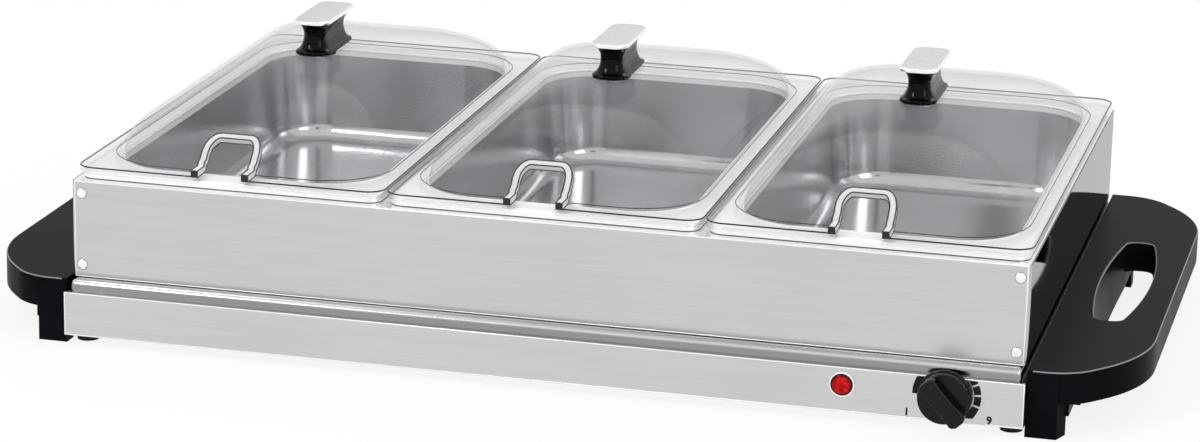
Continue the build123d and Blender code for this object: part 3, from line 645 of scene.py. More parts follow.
BROWN_SLEEVE = Moulded("brown_sleeve", colour=(0.20, 0.09, 0.045), roughness=0.4)
LID_CLEAR = ClearMoulding("clear_lid")
ARCH_CLEAR = ClearMoulding("clear_arch", film_colour=grey(0.95, 0.01), film=0.66, edge=0.30,
                           edge_power=1.6)
# Painted shade: near-black lines along the clear plastic's edges, where refraction shows dark.
PAINTED_EDGE_SHADE = Moulded("lid_edge_line", colour=grey(0.012, 0.004), gloss=0.3, roughness=0.15, relief=0.0)
LENS = RedLens("lamp_red")
BLANKET = Fibre("insulation")

PAINTED: dict[Finish, tuple[str, ...]] = {
    BASE_STEEL: ("chassis_shell",),
    TRAY_STEEL: ("tray_plate",),
    FRONT_STEEL: ("frame_front_panel", "frame_back_panel"),
    SIDE_STEEL: ("frame_left_panel", "frame_right_panel"),
    DECK_STEEL: ("frame_deck",),
    RIVET_STEEL: ("frame_rivets",),
    MILL_STEEL: ("bottom_cover", "heat_shield"),
    PLATED_STEEL: ("foot_screws", "cover_screws", "handle_screws", "thermostat_shaft", "heater_studs",
                   "heater_nuts", "lid_screw_{side}"),
    HANDLE_BLACK: ("handle_left", "handle_right", "cord_gland", "gland_nut"),
    RUBBER: ("rubber_feet", "lid_washer_{side}"),
    INK: ("dial_markings",),
    CONTROL_BLACK: ("control_knob",),
    DARK_MOULDING: ("thermostat", "lamp_holder"),
    TURNED_BRASS: ("thermostat_nut",),
    LENS: ("lamp_lens",),
    BEZEL: ("lamp_bezel",),
    BLANKET: ("insulation_blanket",),
    CERAMIC: ("thermal_cutout", "terminal_block"),
    BROWN_SLEEVE: ("thermostat_wire",),
    PALE_SLEEVE: ("cutout_wire", "heater_wire"),
    FOIL: ("heater_{side}",),
    PAN_STEEL: ("pan_{side}",),
    LID_CLEAR: ("lid_{side}",),
    KNOB_BLACK: ("lid_knob_{side}",),
    CAP_STEEL: ("lid_knob_cap_{side}",),
}


def middle(node: str) -> Vector:
    """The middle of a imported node's box."""
    low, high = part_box(node)
    return (Vector(low) + Vector(high)) / 2


def half_size(node: str) -> Vector:
    """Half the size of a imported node's box."""
    low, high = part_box(node)
    return (Vector(high) - Vector(low)) / 2


def rounding(steps: int) -> list[Flat]:
    """Steps through a rounded edge of radius 1, from its side to its top.

    Args:
        steps: How many steps the quarter turn has.

    Returns:
        How far each point lies in from the side, and how far below the top.
    """
    turns = [math.pi / 2 * step / steps for step in range(steps + 1)]
    return [(1 - math.cos(turn), 1 - math.sin(turn)) for turn in turns]


def rounded_outline(half_x: float, half_y: float, corner: float, per_corner: int = 8,
                    per_side: int = 6) -> list[Flat]:
    """Walks a rounded rectangle counter-clockwise, from the lower end of its +X side.

    Args:
        half_x: Half its width.
        half_y: Half its depth.
        corner: The radius of its corners.
        per_corner: Steps round each corner.
        per_side: Steps along each side.

    Returns:
        The points, always as many for the same two counts.
    """
    corner = min(corner, half_x, half_y)
    arcs = []
    for quarter, (sign_x, sign_y) in enumerate(((1, 1), (-1, 1), (-1, -1), (1, -1))):
        turns = [math.pi / 2 * (quarter + step / per_corner) for step in range(per_corner + 1)]
        arcs.append([(sign_x * (half_x - corner) + corner * math.cos(turn),
                      sign_y * (half_y - corner) + corner * math.sin(turn)) for turn in turns])
    points = []
    for index, arc in enumerate(arcs):
        start, end = arcs[index - 1][-1], arc[0]
        for step in range(1, per_side):
            share = step / per_side
            points.append((start[0] + (end[0] - start[0]) * share, start[1] + (end[1] - start[1]) * share))
        points.extend(arc)
    return points


def ring(outline: Iterable[Flat], height: float, centre: Vector) -> list[Point]:
    """Lifts an outline of points in X and Y to a height, round a centre."""
    return [(x + centre.x, y + centre.y, height) for x, y in outline]


def turned(profile: Iterable[Flat], around: int) -> list[list[Point]]:
    """Turns a profile about the Z axis.

    Args:
        profile: The radius and height of each ring.
        around: Points round each ring.

    Returns:
        The rings.
    """
    turns = [2 * math.pi * step / around for step in range(around)]
    return [[(spread * math.cos(turn), spread * math.sin(turn), height) for turn in turns]
            for spread, height in profile]


def linked(name: str, data: bpy.types.ID) -> bpy.types.Object:
    """Makes an object of some data and links it to the scene.

    Args:
        name: The object's name.
        data: Its mesh, curve, lamp or camera.

    Returns:
        The object.
    """
    made = bpy.data.objects.new(name, data)
    bpy.context.scene.collection.objects.link(made)
    return made


def evaluated(piece: bpy.types.Object) -> bpy.types.Mesh:
    """Makes a plain mesh of a piece as its modifiers leave it."""
    graph = bpy.context.evaluated_depsgraph_get()
    return bpy.data.meshes.new_from_object(piece.evaluated_get(graph), depsgraph=graph)


def shade(mesh: bpy.types.Mesh, shading: Shading) -> None:
    """Sets smooth faces, with sharp edges past the shading's angle.

    Args:
        mesh: The mesh to shade.
        shading: The named angle.
    """
    mesh.polygons.foreach_set("use_smooth", [shading is not Shading.FLAT] * len(mesh.polygons))
    if shading not in (Shading.FLAT, Shading.ROUND):
        mesh.set_sharp_from_angle(angle=math.radians(shading.value))
    mesh.update()


def mesh_piece(name: str, bm: bmesh.types.BMesh, shading: Shading) -> bpy.types.Object:
    """Turns a bmesh into a linked object at the origin.

    Args:
        name: The piece's name.
        bm: The mesh under construction, which is used up.
        shading: How it is shaded.

    Returns:
        The new object.
    """
    mesh = bpy.data.meshes.new(name)
    bm.to_mesh(mesh)
    bm.free()
    shade(mesh, shading)
    return linked(name, mesh)


def bridge(bm: bmesh.types.BMesh, low: Sequence[bmesh.types.BMVert],
           high: Sequence[bmesh.types.BMVert]) -> None:
    """Joins two rings of equal length by quads.

    Args:
        bm: The mesh under construction.
        low: One ring's vertices.
        high: The other's.
    """
    for index in range(len(low)):
        after = (index + 1) % len(low)
        bm.faces.new((low[index], low[after], high[after], high[index]))


def loft(rings: Iterable[Sequence[Point]], into: bmesh.types.BMesh | None = None) -> bmesh.types.BMesh:
    """Joins rings of equal length into a closed form.

    Args:
        rings: The rings, from one end to the other.
        into: A mesh that gets the form, or None for a new one.

    Returns:
        The mesh, with its faces pointing outwards.
    """
    bm = bmesh.new() if into is None else into
    rows = [[bm.verts.new(point) for point in points] for points in rings]
    for low, high in zip(rows, rows[1:]):
        bridge(bm, low, high)
    bm.faces.new(rows[0][::-1])
    bm.faces.new(rows[-1])
    bmesh.ops.recalc_face_normals(bm, faces=bm.faces)
    return bm


def carve(piece: bpy.types.Object, other: bpy.types.Object, way: Carving) -> None:
    """Cuts or joins one closed piece with another, which is then removed.

    Args:
        piece: The piece that stays.
        other: The other piece.
        way: What the other does to it.
    """
    cut = piece.modifiers.new("carve", "BOOLEAN")
    cut.operation = way.value
    cut.solver = "EXACT"
    cut.object = other
    made, old = evaluated(piece), piece.data
    piece.modifiers.clear()
    piece.data = made
    bpy.data.meshes.remove(old)
    bpy.data.objects.remove(other)


def tie(piece: bpy.types.Object, body: str, finish: Finish | None = None,
        instead_of: str | None = None) -> None:
    """Paints a new piece and body, and reports it.

    Args:
        piece: The piece.
        body: The body that it rides on.
        finish: Its finish, where no pattern has set it.
        instead_of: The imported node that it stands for, if any.
    """
    if finish is not None:
        finish.paint(piece)
    if instead_of is not None:
        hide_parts(instead_of)
    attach(piece, body)
    log.info("%s: %d faces", piece.name, len(piece.data.polygons))


class Pattern:
    """A Geometry Nodes tree with named inputs, laid on a carrier object and made into a mesh."""

    def __init__(self, name: str, numbers: dict[str, float]) -> None:
        """Starts a tree.

        Args:
            name: The tree's name.
            numbers: Its named number inputs and their values.
        """
        self.group = bpy.data.node_groups.new(name, "GeometryNodeTree")
        self.numbers = numbers
        face = self.group.interface
        face.new_socket("Geometry", in_out="INPUT", socket_type="NodeSocketGeometry")
        for label in numbers:
            face.new_socket(label, in_out="INPUT", socket_type="NodeSocketFloat")
        face.new_socket("Finish", in_out="INPUT", socket_type="NodeSocketMaterial")
        face.new_socket("Geometry", in_out="OUTPUT", socket_type="NodeSocketGeometry")
        self.tree = Tree(self.group)
        self.entry = self.group.nodes.new("NodeGroupInput")

    def input(self, label: str) -> Wire:
        """Returns a named input of the tree."""
        return Wire(self.tree, self.entry.outputs[label])

    def square(self) -> Wire:
        """A square curve of the named width."""
        side = self.input("Width")
        return self.tree.node("GeometryNodeCurvePrimitiveQuadrilateral", {"Width": side, "Height": side})

    def circle(self, radius: str, points: int) -> Wire:
        """A circle of a named radius."""
        inputs = {"Resolution": points, "Radius": self.input(radius)}
        return self.tree.node("GeometryNodeCurvePrimitiveCircle", inputs)

    def swept(self, path: Wire, profile: Wire) -> Wire:
        """Runs a profile along a path."""
        inputs = {"Curve": path, "Profile Curve": profile, "Fill Caps": True}
        return self.tree.node("GeometryNodeCurveToMesh", inputs)

    def on_points(self, points: Wire, shape: Wire) -> Wire:
        """Sets a shape on every point."""
        return self.tree.node("GeometryNodeInstanceOnPoints", {"Points": points, "Instance": shape})

    def moved(self, shape: Wire, **how: Wire | Point) -> Wire:
        """Moves, turns or scales a shape, by the transform's own input names."""
        return self.tree.node("GeometryNodeTransform", {"Geometry": shape, **how})

    def finish(self, shape: Wire) -> "Pattern":
        """Ends the tree in Realize Instances and Set Material.

        Args:
            shape: The geometry to put out.

        Returns:
            The pattern itself.
        """
        real = self.tree.node("GeometryNodeRealizeInstances", {"Geometry": shape})
        inputs = {"Geometry": real, "Material": self.input("Finish")}
        self.tree.node("NodeGroupOutput", {"Geometry": self.tree.node("GeometryNodeSetMaterial", inputs)})
        return self

    def lay(self, name: str, carrier: bpy.types.ID, finish: Finish, shading: Shading) -> bpy.types.Object:
        """Runs the tree on a carrier and keeps the result as a plain mesh.

        Args:
            name: The piece's name.
            carrier: The mesh or curve data that the tree starts from.
            finish: The finish that the tree sets.
            shading: How the result is shaded.

        Returns:
            The piece.
        """
        piece = linked(name, carrier)
        laid = piece.modifiers.new(name, "NODES")
        laid.node_group = self.group
        values = {**self.numbers, "Finish": finish.material()}
        for item in self.group.interface.items_tree:
            if item.in_out == "INPUT" and item.name in values:
                laid[item.identifier] = values[item.name]
        mesh = evaluated(piece)
        bpy.data.objects.remove(piece)
        shade(mesh, shading)
        return linked(name, mesh)


def path_curve(name: str, points: Sequence[Point], cyclic: bool = False) -> bpy.types.Curve:
    """Makes a plain poly curve along points.

    Args:
        name: The curve's name.
        points: The points, in metres.
        cyclic: Whether it closes.

    Returns:
        The curve data.
    """
    curve = bpy.data.curves.new(name, "CURVE")
    curve.dimensions = "3D"
    spline = curve.splines.new("POLY")
    spline.points.add(len(points) - 1)
    for spot, point in zip(spline.points, points):
        spot.co = (*point, 1.0)
    spline.use_cyclic_u = cyclic
    return curve


def points_mesh(name: str, places: Iterable[Point]) -> bpy.types.Mesh:
    """Makes a mesh of loose points, for a pattern to stand on.

    Args:
        name: The mesh's name.
        places: The points.

    Returns:
        The mesh.
    """
    mesh = bpy.data.meshes.new(name)
    mesh.from_pydata(list(places), [], [])
    return mesh


def bar_pattern(width: float, corner: float) -> Pattern:
    """A tree that runs a rounded square bar along a curve.

    Args:
        width: The bar's width.
        corner: The radius of its edges.

    Returns:
        The tree.
    """
    made = Pattern("bar_along_path", {"Width": width, "Corner": corner})
    edges = {"Curve": made.square(), "Count": 5, "Radius": made.input("Corner"), "Limit Radius": True}
    profile = made.tree.node("GeometryNodeFilletCurve", edges, mode="POLY")
    return made.finish(made.swept(made.input("Geometry"), profile))


def bead_pattern(radius: float) -> Pattern:
    """A tree that runs a round bead along a curve."""
    made = Pattern("bead_along_path", {"Radius": radius})
    return made.finish(made.swept(made.input("Geometry"), made.circle("Radius", points=10)))


def edge_line_pattern(width: float, radius: float) -> Pattern:
    """A tree that runs four thin beads along a curve, one on each edge of a square bar.

    Args:
        width: The distance between neighbouring beads.
        radius: The radius of each.

    Returns:
        The tree.
    """
    made = Pattern("edges_along_path", {"Width": width, "Radius": radius})
    placed = made.on_points(made.square(), made.circle("Radius", points=8))
    profile = made.tree.node("GeometryNodeRealizeInstances", {"Geometry": placed})
    return made.finish(made.swept(made.input("Geometry"), profile))


def rivet_pattern(head: float, height: float, shank: float, length: float) -> Pattern:
    """A tree that sets a domed rivet on every point, its head towards -Y.

    Args:
        head: The head's radius.
        height: How far the head stands out.
        shank: The shank's radius.
        length: How far the shank and its flattened tail reach behind the sheet.

    Returns:
        The tree.
    """
    made = Pattern("rivets", {"Head": head, "Height": height, "Shank": shank, "Length": length})
    tree = made.tree
    round_head, rise, rod, reach = (made.input(label) for label in made.numbers)
    tail = rod * TAIL_SPREAD
    ball = tree.node("GeometryNodeMeshUVSphere", {"Segments": 28, "Rings": 14, "Radius": 1.0})
    bar = tree.node("GeometryNodeMeshCylinder", {"Vertices": 20, "Radius": rod, "Depth": reach})
    head_size = tree.node("ShaderNodeCombineXYZ", {"X": round_head, "Y": rise, "Z": round_head})
    tail_size = tree.node("ShaderNodeCombineXYZ", {"X": tail, "Y": rise, "Z": tail})
    bar_place = tree.node("ShaderNodeCombineXYZ", {"Y": reach * 0.5})
    tail_place = tree.node("ShaderNodeCombineXYZ", {"Y": reach - rise})
    join = made.group.nodes.new("GeometryNodeJoinGeometry")
    for shape in (made.moved(ball, Scale=head_size),
                  made.moved(bar, Translation=bar_place, Rotation=(math.pi / 2, 0.0, 0.0)),
                  made.moved(ball, Scale=tail_size, Translation=tail_place)):
        made.group.links.new(shape.socket, join.inputs[0])
    return made.finish(made.on_points(made.input("Geometry"), Wire(tree, join.outputs[0])))


@dataclass
class ClearLid:
    """One clear lid: flange, skirt, smooth dome, and the framed slot for a spoon."""

    side: str
    plate: float = 2.5 * MM
    seat_gap: float = 0.3 * MM
    skirt_wall: float = 1.8 * MM
    skirt_corner: float = 10.0 * MM
    edge_round: float = 0.8 * MM
    round_steps: int = 4
    side_margin: float = 10.0 * MM
    end_margin: float = 14.0 * MM
    dome_corner: float = 35.0 * MM
    dome_wall: float = 2.0 * MM
    foot_round: float = 2.4 * MM
    land_half_x: float = 11.5 * MM
    land_half_y: float = 28.5 * MM
    land_corner: float = 8.0 * MM
    power: float = 1.8
    steps: int = 26
    slot_offset: float = -4.0 * MM
    slot_width: float = 24.0 * MM
    slot_height: float = 12.4 * MM
    slot_corner: float = 4.0 * MM
    slot_reach: float = 46.0 * MM
    overrun: float = 5.0 * MM
    bar: float = 3.9 * MM
    bar_corner: float = 1.1 * MM
    bar_rise: float = 0.28
    bar_line: float = 0.34 * MM
    bar_end: Flat = (-0.2 * MM, 0.6 * MM)
    bend: float = 2.4 * MM
    bend_ahead: float = 0.6
    rise_steps: int = 5
    corner_steps: int = 8
    front_gap: float = 0.25 * MM
    line_radius: float = 0.42 * MM
    line_inset: float = 0.55
    foot_line_radius: float = 0.24 * MM
    foot_line_rise: float = 0.4

    def __post_init__(self) -> None:
        """Reads the lid's place from the frame."""
        node = f"lid_{self.side}"
        low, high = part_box(node)
        half = half_size(node)
        self.centre = middle(node)
        self.half_x, self.half_y = half.x, half.y
        self.base_x, self.base_y = half.x - self.side_margin, half.y - self.end_margin
        self.skirt_low, self.top = low.z, high.z
        self.flange_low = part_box(f"pan_{self.side}")[1].z + self.seat_gap
        self.flange_top = self.flange_low + self.plate

    def outline(self, half_x: float, half_y: float, corner: float, height: float) -> list[Point]:
        """One ring of the lid, in space."""
        outline = rounded_outline(half_x, half_y, corner, per_corner=10, per_side=14)
        return ring(outline, height, self.centre)

    def rim(self, inset: float, height: float) -> list[Point]:
        """The flange's outline, drawn in by an inset."""
        return self.outline(self.half_x - inset, self.half_y - inset, self.skirt_corner - inset, height)

    def foot(self, grow: float, height: float) -> list[Point]:
        """The outline of the dome's foot, let out by a distance."""
        return self.outline(self.base_x + grow, self.base_y + grow, self.dome_corner + grow, height)

    def dome_ring(self, share: float, inset: float, rise: float) -> list[Point]:
        """A ring of the dome.

        Args:
            share: 0 at the flat land on top, 1 at the foot.
            inset: The wall that is taken off.
            rise: The ring's height over the flange's top.

        Returns:
            The ring's points.
        """
        spans = ((self.land_half_x, self.base_x), (self.land_half_y, self.base_y),
                 (self.land_corner, self.dome_corner))
        half_x, half_y, corner = (land + (base - land) * share - inset for land, base in spans)
        return self.outline(half_x, half_y, corner, self.flange_top + rise)

    def dome_rings(self, inset: float) -> list[list[Point]]:
        """The dome's rings from the foot to the land, on a superellipse.

        Args:
            inset: The wall that is taken off.

        Returns:
            The rings.
        """
        height = self.top - self.flange_top - inset
        turns = [math.pi / 2 * step / (self.steps - 1) for step in range(self.steps)]
        return [self.dome_ring(math.cos(turn) ** (2 / self.power), inset,
                               height * math.sin(turn) ** (2 / self.power)) for turn in turns]

    def front_at(self, rise: float) -> float:
        """How far in front of the lid's middle the dome's surface is, at a height over the flange."""
        share = (1 - (rise / (self.top - self.flange_top)) ** self.power) ** (1 / self.power)
        return self.land_half_y + (self.base_y - self.land_half_y) * share

    def shell(self) -> bpy.types.Object:
        """Builds the lid's one closed wall, with the doorway for the spoon cut out.

        Returns:
            The shell.
        """
        rings = [self.rim(0.0, self.skirt_low)]
        for inward, below in rounding(self.round_steps):
            rings.append(self.rim(self.edge_round * inward, self.flange_top - self.edge_round * below))
        for inward, below in rounding(self.round_steps):
            rings.append(self.foot(self.foot_round * below, self.flange_top + self.foot_round * inward))
        clear = self.flange_top + self.foot_round
        rings += [points for points in self.dome_rings(0.0) if points[0][2] > clear]
        seam = len(rings)
        rings += self.dome_rings(self.dome_wall)[::-1]
        rings.append(self.foot(-self.dome_wall, self.flange_low))
        rings += [self.rim(self.skirt_wall, height) for height in (self.flange_low, self.skirt_low)]
        bm = bmesh.new()
        rows = [[bm.verts.new(point) for point in points] for points in rings]
        for number, (low, high) in enumerate(zip(rows, rows[1:] + rows[:1]), start=1):
            if number != seam:
                bridge(bm, low, high)
        bm.faces.new(rows[seam - 1])
        bm.faces.new(rows[seam][::-1])
        bmesh.ops.recalc_face_normals(bm, faces=bm.faces)
        made = mesh_piece(f"clear_lid_{self.side}", bm, Shading.FLAT)
        carve(made, self.doorway(), Carving.CUT)
        shade(made.data, Shading.CRISP)
        return made

    def doorway(self) -> bpy.types.Object:
        """Builds the cutter for the spoon's doorway: an arch run along Y.

        Returns:
            The cutter.
        """
        outline = rounded_outline(self.slot_width / 2, self.slot_height + self.overrun, self.slot_corner,
                                  per_corner=10, per_side=4)
        across = self.centre.x + self.slot_offset
        ends = [[(across + x, self.centre.y + y, self.flange_top - self.overrun + z) for x, z in outline]
                for y in (-self.half_y - self.overrun, self.slot_reach - self.half_y)]
        return mesh_piece("doorway", loft(ends), Shading.FLAT)

    def arch_path(self) -> list[Point]:
        """The middle line of the bar that frames the doorway.

        Returns:
            The points: along the flange, up the dome's front, over and back.
        """
        half = (self.slot_width + self.bar) / 2
        low = self.bar * self.bar_rise
        high = self.slot_height + self.bar / 2
        corner = self.slot_corner + self.bar / 2
        foot = self.base_y + self.bend * self.bend_ahead
        left = [(-half, self.front_gap - self.half_y, low)]
        left += [(-half, -foot - self.bend * below, low + self.bend * inward)
                 for inward, below in rounding(self.round_steps)]
        start = low + self.bend
        for step in range(1, self.rise_steps):
            z = start + (high - corner - start) * step / self.rise_steps
            left.append((-half, -self.front_at(z), z))
        for inward, below in rounding(self.corner_steps):
            z = high - corner * below
            left.append((-half + corner * inward, -self.front_at(z), z))
        points = left + [(-x, y, z) for x, y, z in reversed(left)]
        across = self.centre.x + self.slot_offset
        return [(across + x, self.centre.y + y, self.flange_top + z) for x, y, z in points]

    def laid(self, name: str, path: list[Point], pattern: Pattern, finish: Finish = PAINTED_EDGE_SHADE,
             shading: Shading = Shading.ROUND) -> bpy.types.Object:
        """Runs a pattern along a path, and names the piece for this lid.

        Args:
            name: The piece's name without its side.
            path: The path.
            pattern: What runs along it.
            finish: Its finish.
            shading: How it is shaded.

        Returns:
            The piece.
        """
        return pattern.lay(f"{name}_{self.side}", path_curve("path", path), finish, shading)

    def arch(self) -> list[bpy.types.Object]:
        """Builds the clear bar round the doorway, the painted shade lines along its four edges, and its two
        end faces in painted shade.

        Returns:
            The bar, its lines and its ends, which lie at the flange's front edge.
        """
        path = self.arch_path()
        along = bar_pattern(self.bar, self.bar_corner)
        bar = self.laid("spoon_arch", path, along, ARCH_CLEAR, Shading.SOFT)
        along = edge_line_pattern(self.bar - self.bar_line, self.bar_line)
        lines = self.laid("spoon_arch_painted_shade_lines", path, along)
        outline = rounded_outline(self.bar / 2, self.bar / 2, self.bar_corner, per_corner=4, per_side=2)
        whole = bmesh.new()
        for x, y, z in (path[0], path[-1]):
            loft([[(x + a, y + back, z + b) for a, b in outline] for back in self.bar_end], whole)
        ends = mesh_piece(f"spoon_arch_ends_{self.side}", whole, Shading.CRISP)
        PAINTED_EDGE_SHADE.paint(ends)
        return [bar, lines, ends]

    def flange_lines(self) -> list[bpy.types.Object]:
        """Builds the painted shade lines along the flange's upper edge and the dome's foot.

        Returns:
            Both lines.
        """
        inset = self.edge_round * self.line_inset
        edge = self.open_front(self.rim(inset, self.flange_top - inset))
        rise = self.foot_line_radius * self.foot_line_rise
        foot = self.open_front(self.foot(self.foot_round, self.flange_top + rise))
        return [self.laid("lid_edge_line", edge, bead_pattern(self.line_radius)),
                self.laid("lid_foot_line", foot, bead_pattern(self.foot_line_radius))]

    def open_front(self, outline: list[Point]) -> list[Point]:
        """Breaks a ring where the doorway crosses its front side.

        Args:
            outline: A closed ring.

        Returns:
            The ring as an open path from one side of the doorway to the other.
        """
        half = self.slot_width / 2 + self.bar
        left, right = (self.centre.x + self.slot_offset + way * half for way in (-1, 1))
        front, height = min(point[1] for point in outline), outline[0][2]
        kept = [p for p in outline if not (p[1] < front + MM and left < p[0] < right)]
        beside = [index for index, p in enumerate(kept) if p[1] < front + MM and p[0] <= left]
        turn = max(beside, key=lambda index: kept[index][0])
        return [(right, front, height), *kept[turn + 1:], *kept[:turn + 1], (left, front, height)]

    def build(self) -> None:
        """Makes the lid's pieces and ties them to the lid's body."""
        body = f"{self.side}_lid"
        tie(self.shell(), body, LID_CLEAR, f"lid_{self.side}")
        for piece in (*self.arch(), *self.flange_lines()):
            tie(piece, body)


@dataclass
class LidKnob:
    """One lid's knob: a glossy waisted body and its bright cap."""

    side: str
    lip_height: float = 2.6 * MM
    lip_round: float = 0.9 * MM
    base_half: Flat = (10.2 * MM, 26.0 * MM)
    waist_half: Flat = (6.2 * MM, 21.5 * MM)
    top_half: Flat = (10.0 * MM, 27.5 * MM)
    corner: float = 7.5 * MM
    corner_limit: float = 0.9
    lip_steps: int = 8
    flare: float = 0.6
    steps: int = 22
    cap_round: float = 0.9 * MM
    cap_steps: int = 6
    crown: float = 0.25 * MM
    crown_shares: tuple[float, ...] = (0.2, 0.4, 0.6, 0.8)

    def section(self, half: Sequence[float], inset: float, corner: float, height: float) -> list[Point]:
        """One ring of the knob.

        Args:
            half: Half its width and depth.
            inset: What is taken off all round.
            corner: The radius of its corners, where it is wide enough for them.
            height: Its height.

        Returns:
            The ring's points.
        """
        half_x, half_y = half[0] - inset, half[1] - inset
        corner = min(corner, half_x * self.corner_limit)
        return ring(rounded_outline(half_x, half_y, corner), height, self.centre)

    def body(self) -> bpy.types.Object:
        """Builds the lip and the waist as one smooth form.

        Returns:
            The body.
        """
        low, high = (corner.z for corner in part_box(f"lid_knob_{self.side}"))
        rings = [self.section(self.base_half, self.lip_round, self.corner, low)]
        for step in range(self.lip_steps + 1):
            turn = math.pi * step / self.lip_steps
            height = low + self.lip_height / 2 * (1 - math.cos(turn))
            inset = self.lip_round * (1 - math.sin(turn))
            rings.append(self.section(self.base_half, inset, self.corner, height))
        start = low + self.lip_height
        for step in range(1, self.steps):
            share = step / (self.steps - 1)
            draw = math.sin(math.pi * share) ** self.flare
            half = []
            for base, waist, top in zip(self.base_half, self.waist_half, self.top_half):
                straight = base - self.lip_round + (top - base + self.lip_round) * share
                half.append(straight - (straight - waist) * draw)
            rings.append(self.section(half, 0.0, self.corner, start + (high - start) * share))
        return mesh_piece(f"glossy_knob_{self.side}", loft(rings), Shading.SOFT)

    def cap(self) -> bpy.types.Object:
        """Builds the cap, its rim rolled and its top slightly crowned.

        Returns:
            The cap.
        """
        node = f"lid_knob_cap_{self.side}"
        low, high = (corner.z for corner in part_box(node))
        half = half_size(node)
        rings = [self.section(half, 0.0, self.corner, low)]
        for inward, below in rounding(self.cap_steps):
            inset = self.cap_round * inward
            height = high - self.crown - self.cap_round * below
            rings.append(self.section(half, inset, self.corner - inset, height))
        for share in self.crown_shares:
            inset = self.cap_round + (half.x - self.cap_round) * share
            rings.append(self.section(half, inset, self.corner, high - self.crown * (1 - share) ** 2))
        return mesh_piece(f"bright_cap_{self.side}", loft(rings), Shading.SOFT)

    def build(self) -> None:
        """Makes both pieces and ties them to the lid's body."""
        self.centre = middle(f"lid_knob_{self.side}")
        body = f"{self.side}_lid"
        tie(self.body(), body, KNOB_BLACK, f"lid_knob_{self.side}")
        tie(self.cap(), body, CAP_STEEL, f"lid_knob_cap_{self.side}")


@dataclass
class TurnControl:
    """The heat control: a floating disc on a narrower hub, with a rounded grip bar."""

    radius: float = 14.0 * MM
    hub: float = 11.4 * MM
    hub_depth: float = 1.17 * MM
    disc_front: float = 3.3 * MM
    body: float = 13.2 * MM
    body_front: float = 7.8 * MM
    roll: float = 0.8 * MM
    roll_steps: int = 4
    back_roll: float = 0.24 * MM
    around: int = 96
    grip_half: float = 5.2 * MM
    grip_waist: float = 4.5 * MM
    grip_steps: int = 24
    grip_roll_steps: int = 5
    grip_draft: float = 0.9
    length_draft: float = 0.4
    reach: float = 14.7 * MM
    tip_half: float = 0.45
    tip_fullness: float = 2.2
    angle: float = 47.0

    def turning(self) -> bpy.types.Object:
        """Turns the hub, the disc and the round body from one profile.

        Returns:
            The turned part, around the Z axis, its front towards +Z.
        """
        profile = [(self.hub, 0.0), (self.hub, self.hub_depth)]
        for outer, start, end in ((self.radius, self.hub_depth, self.disc_front),
                                  (self.body, self.disc_front, self.body_front)):
            profile += [(outer - self.back_roll, start), (outer, start + self.back_roll)]
            profile += [(outer - self.roll * inward, end - self.roll * below)
                        for inward, below in rounding(self.roll_steps)]
        return mesh_piece("control_turned", loft(turned(profile, self.around)), Shading.CRISP)

    def grip(self, depth: float) -> bpy.types.Object:
        """Builds the grip bar: waisted in the middle, its pointed end past the disc.

        Args:
            depth: How far its front stands out.

        Returns:
            The bar, along X, its front towards +Z.
        """
        length = self.reach + self.body
        shares = [number / self.grip_steps for number in range(self.grip_steps + 1)]
        outline = []
        for side, along in ((-1.0, shares), (1.0, shares[::-1])):
            for share in along:
                half = self.grip_waist + (self.grip_half - self.grip_waist) * abs(2.0 * share - 1.0) ** 2
                end = min(share, 1.0 - share) * length
                tip = math.sqrt((half * self.tip_half) ** 2 + end * half * self.tip_fullness)
                outline.append((length * share - self.body, side * min(half, tip)))
        rings = [[(x, y, self.body_front - self.roll) for x, y in outline]]
        for inward, below in rounding(self.grip_roll_steps):
            drawn = self.roll * self.grip_draft * inward / self.grip_half
            kept_x, kept_y = 1.0 - drawn * self.length_draft, 1.0 - drawn
            rings.append([(x * kept_x, y * kept_y, depth - self.roll * below) for x, y in outline])
        return mesh_piece("control_grip", loft(rings), Shading.CRISP)

    def build(self) -> None:
        """Joins both and ties them to the control's body."""
        low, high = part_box("control_knob")
        shaft = middle("thermostat_shaft")
        whole = self.turning()
        carve(whole, self.grip(high.y - low.y), Carving.JOIN)
        shade(whole.data, Shading.CRISP)
        spin = Matrix.Rotation(math.radians(self.angle), 4, "Y") @ Matrix.Rotation(math.pi / 2, 4, "X")
        whole.data.transform(Matrix.Translation((shaft.x, high.y, shaft.z)) @ spin)
        whole.name = "heat_control"
        tie(whole, "control", CONTROL_BLACK, "control_knob")


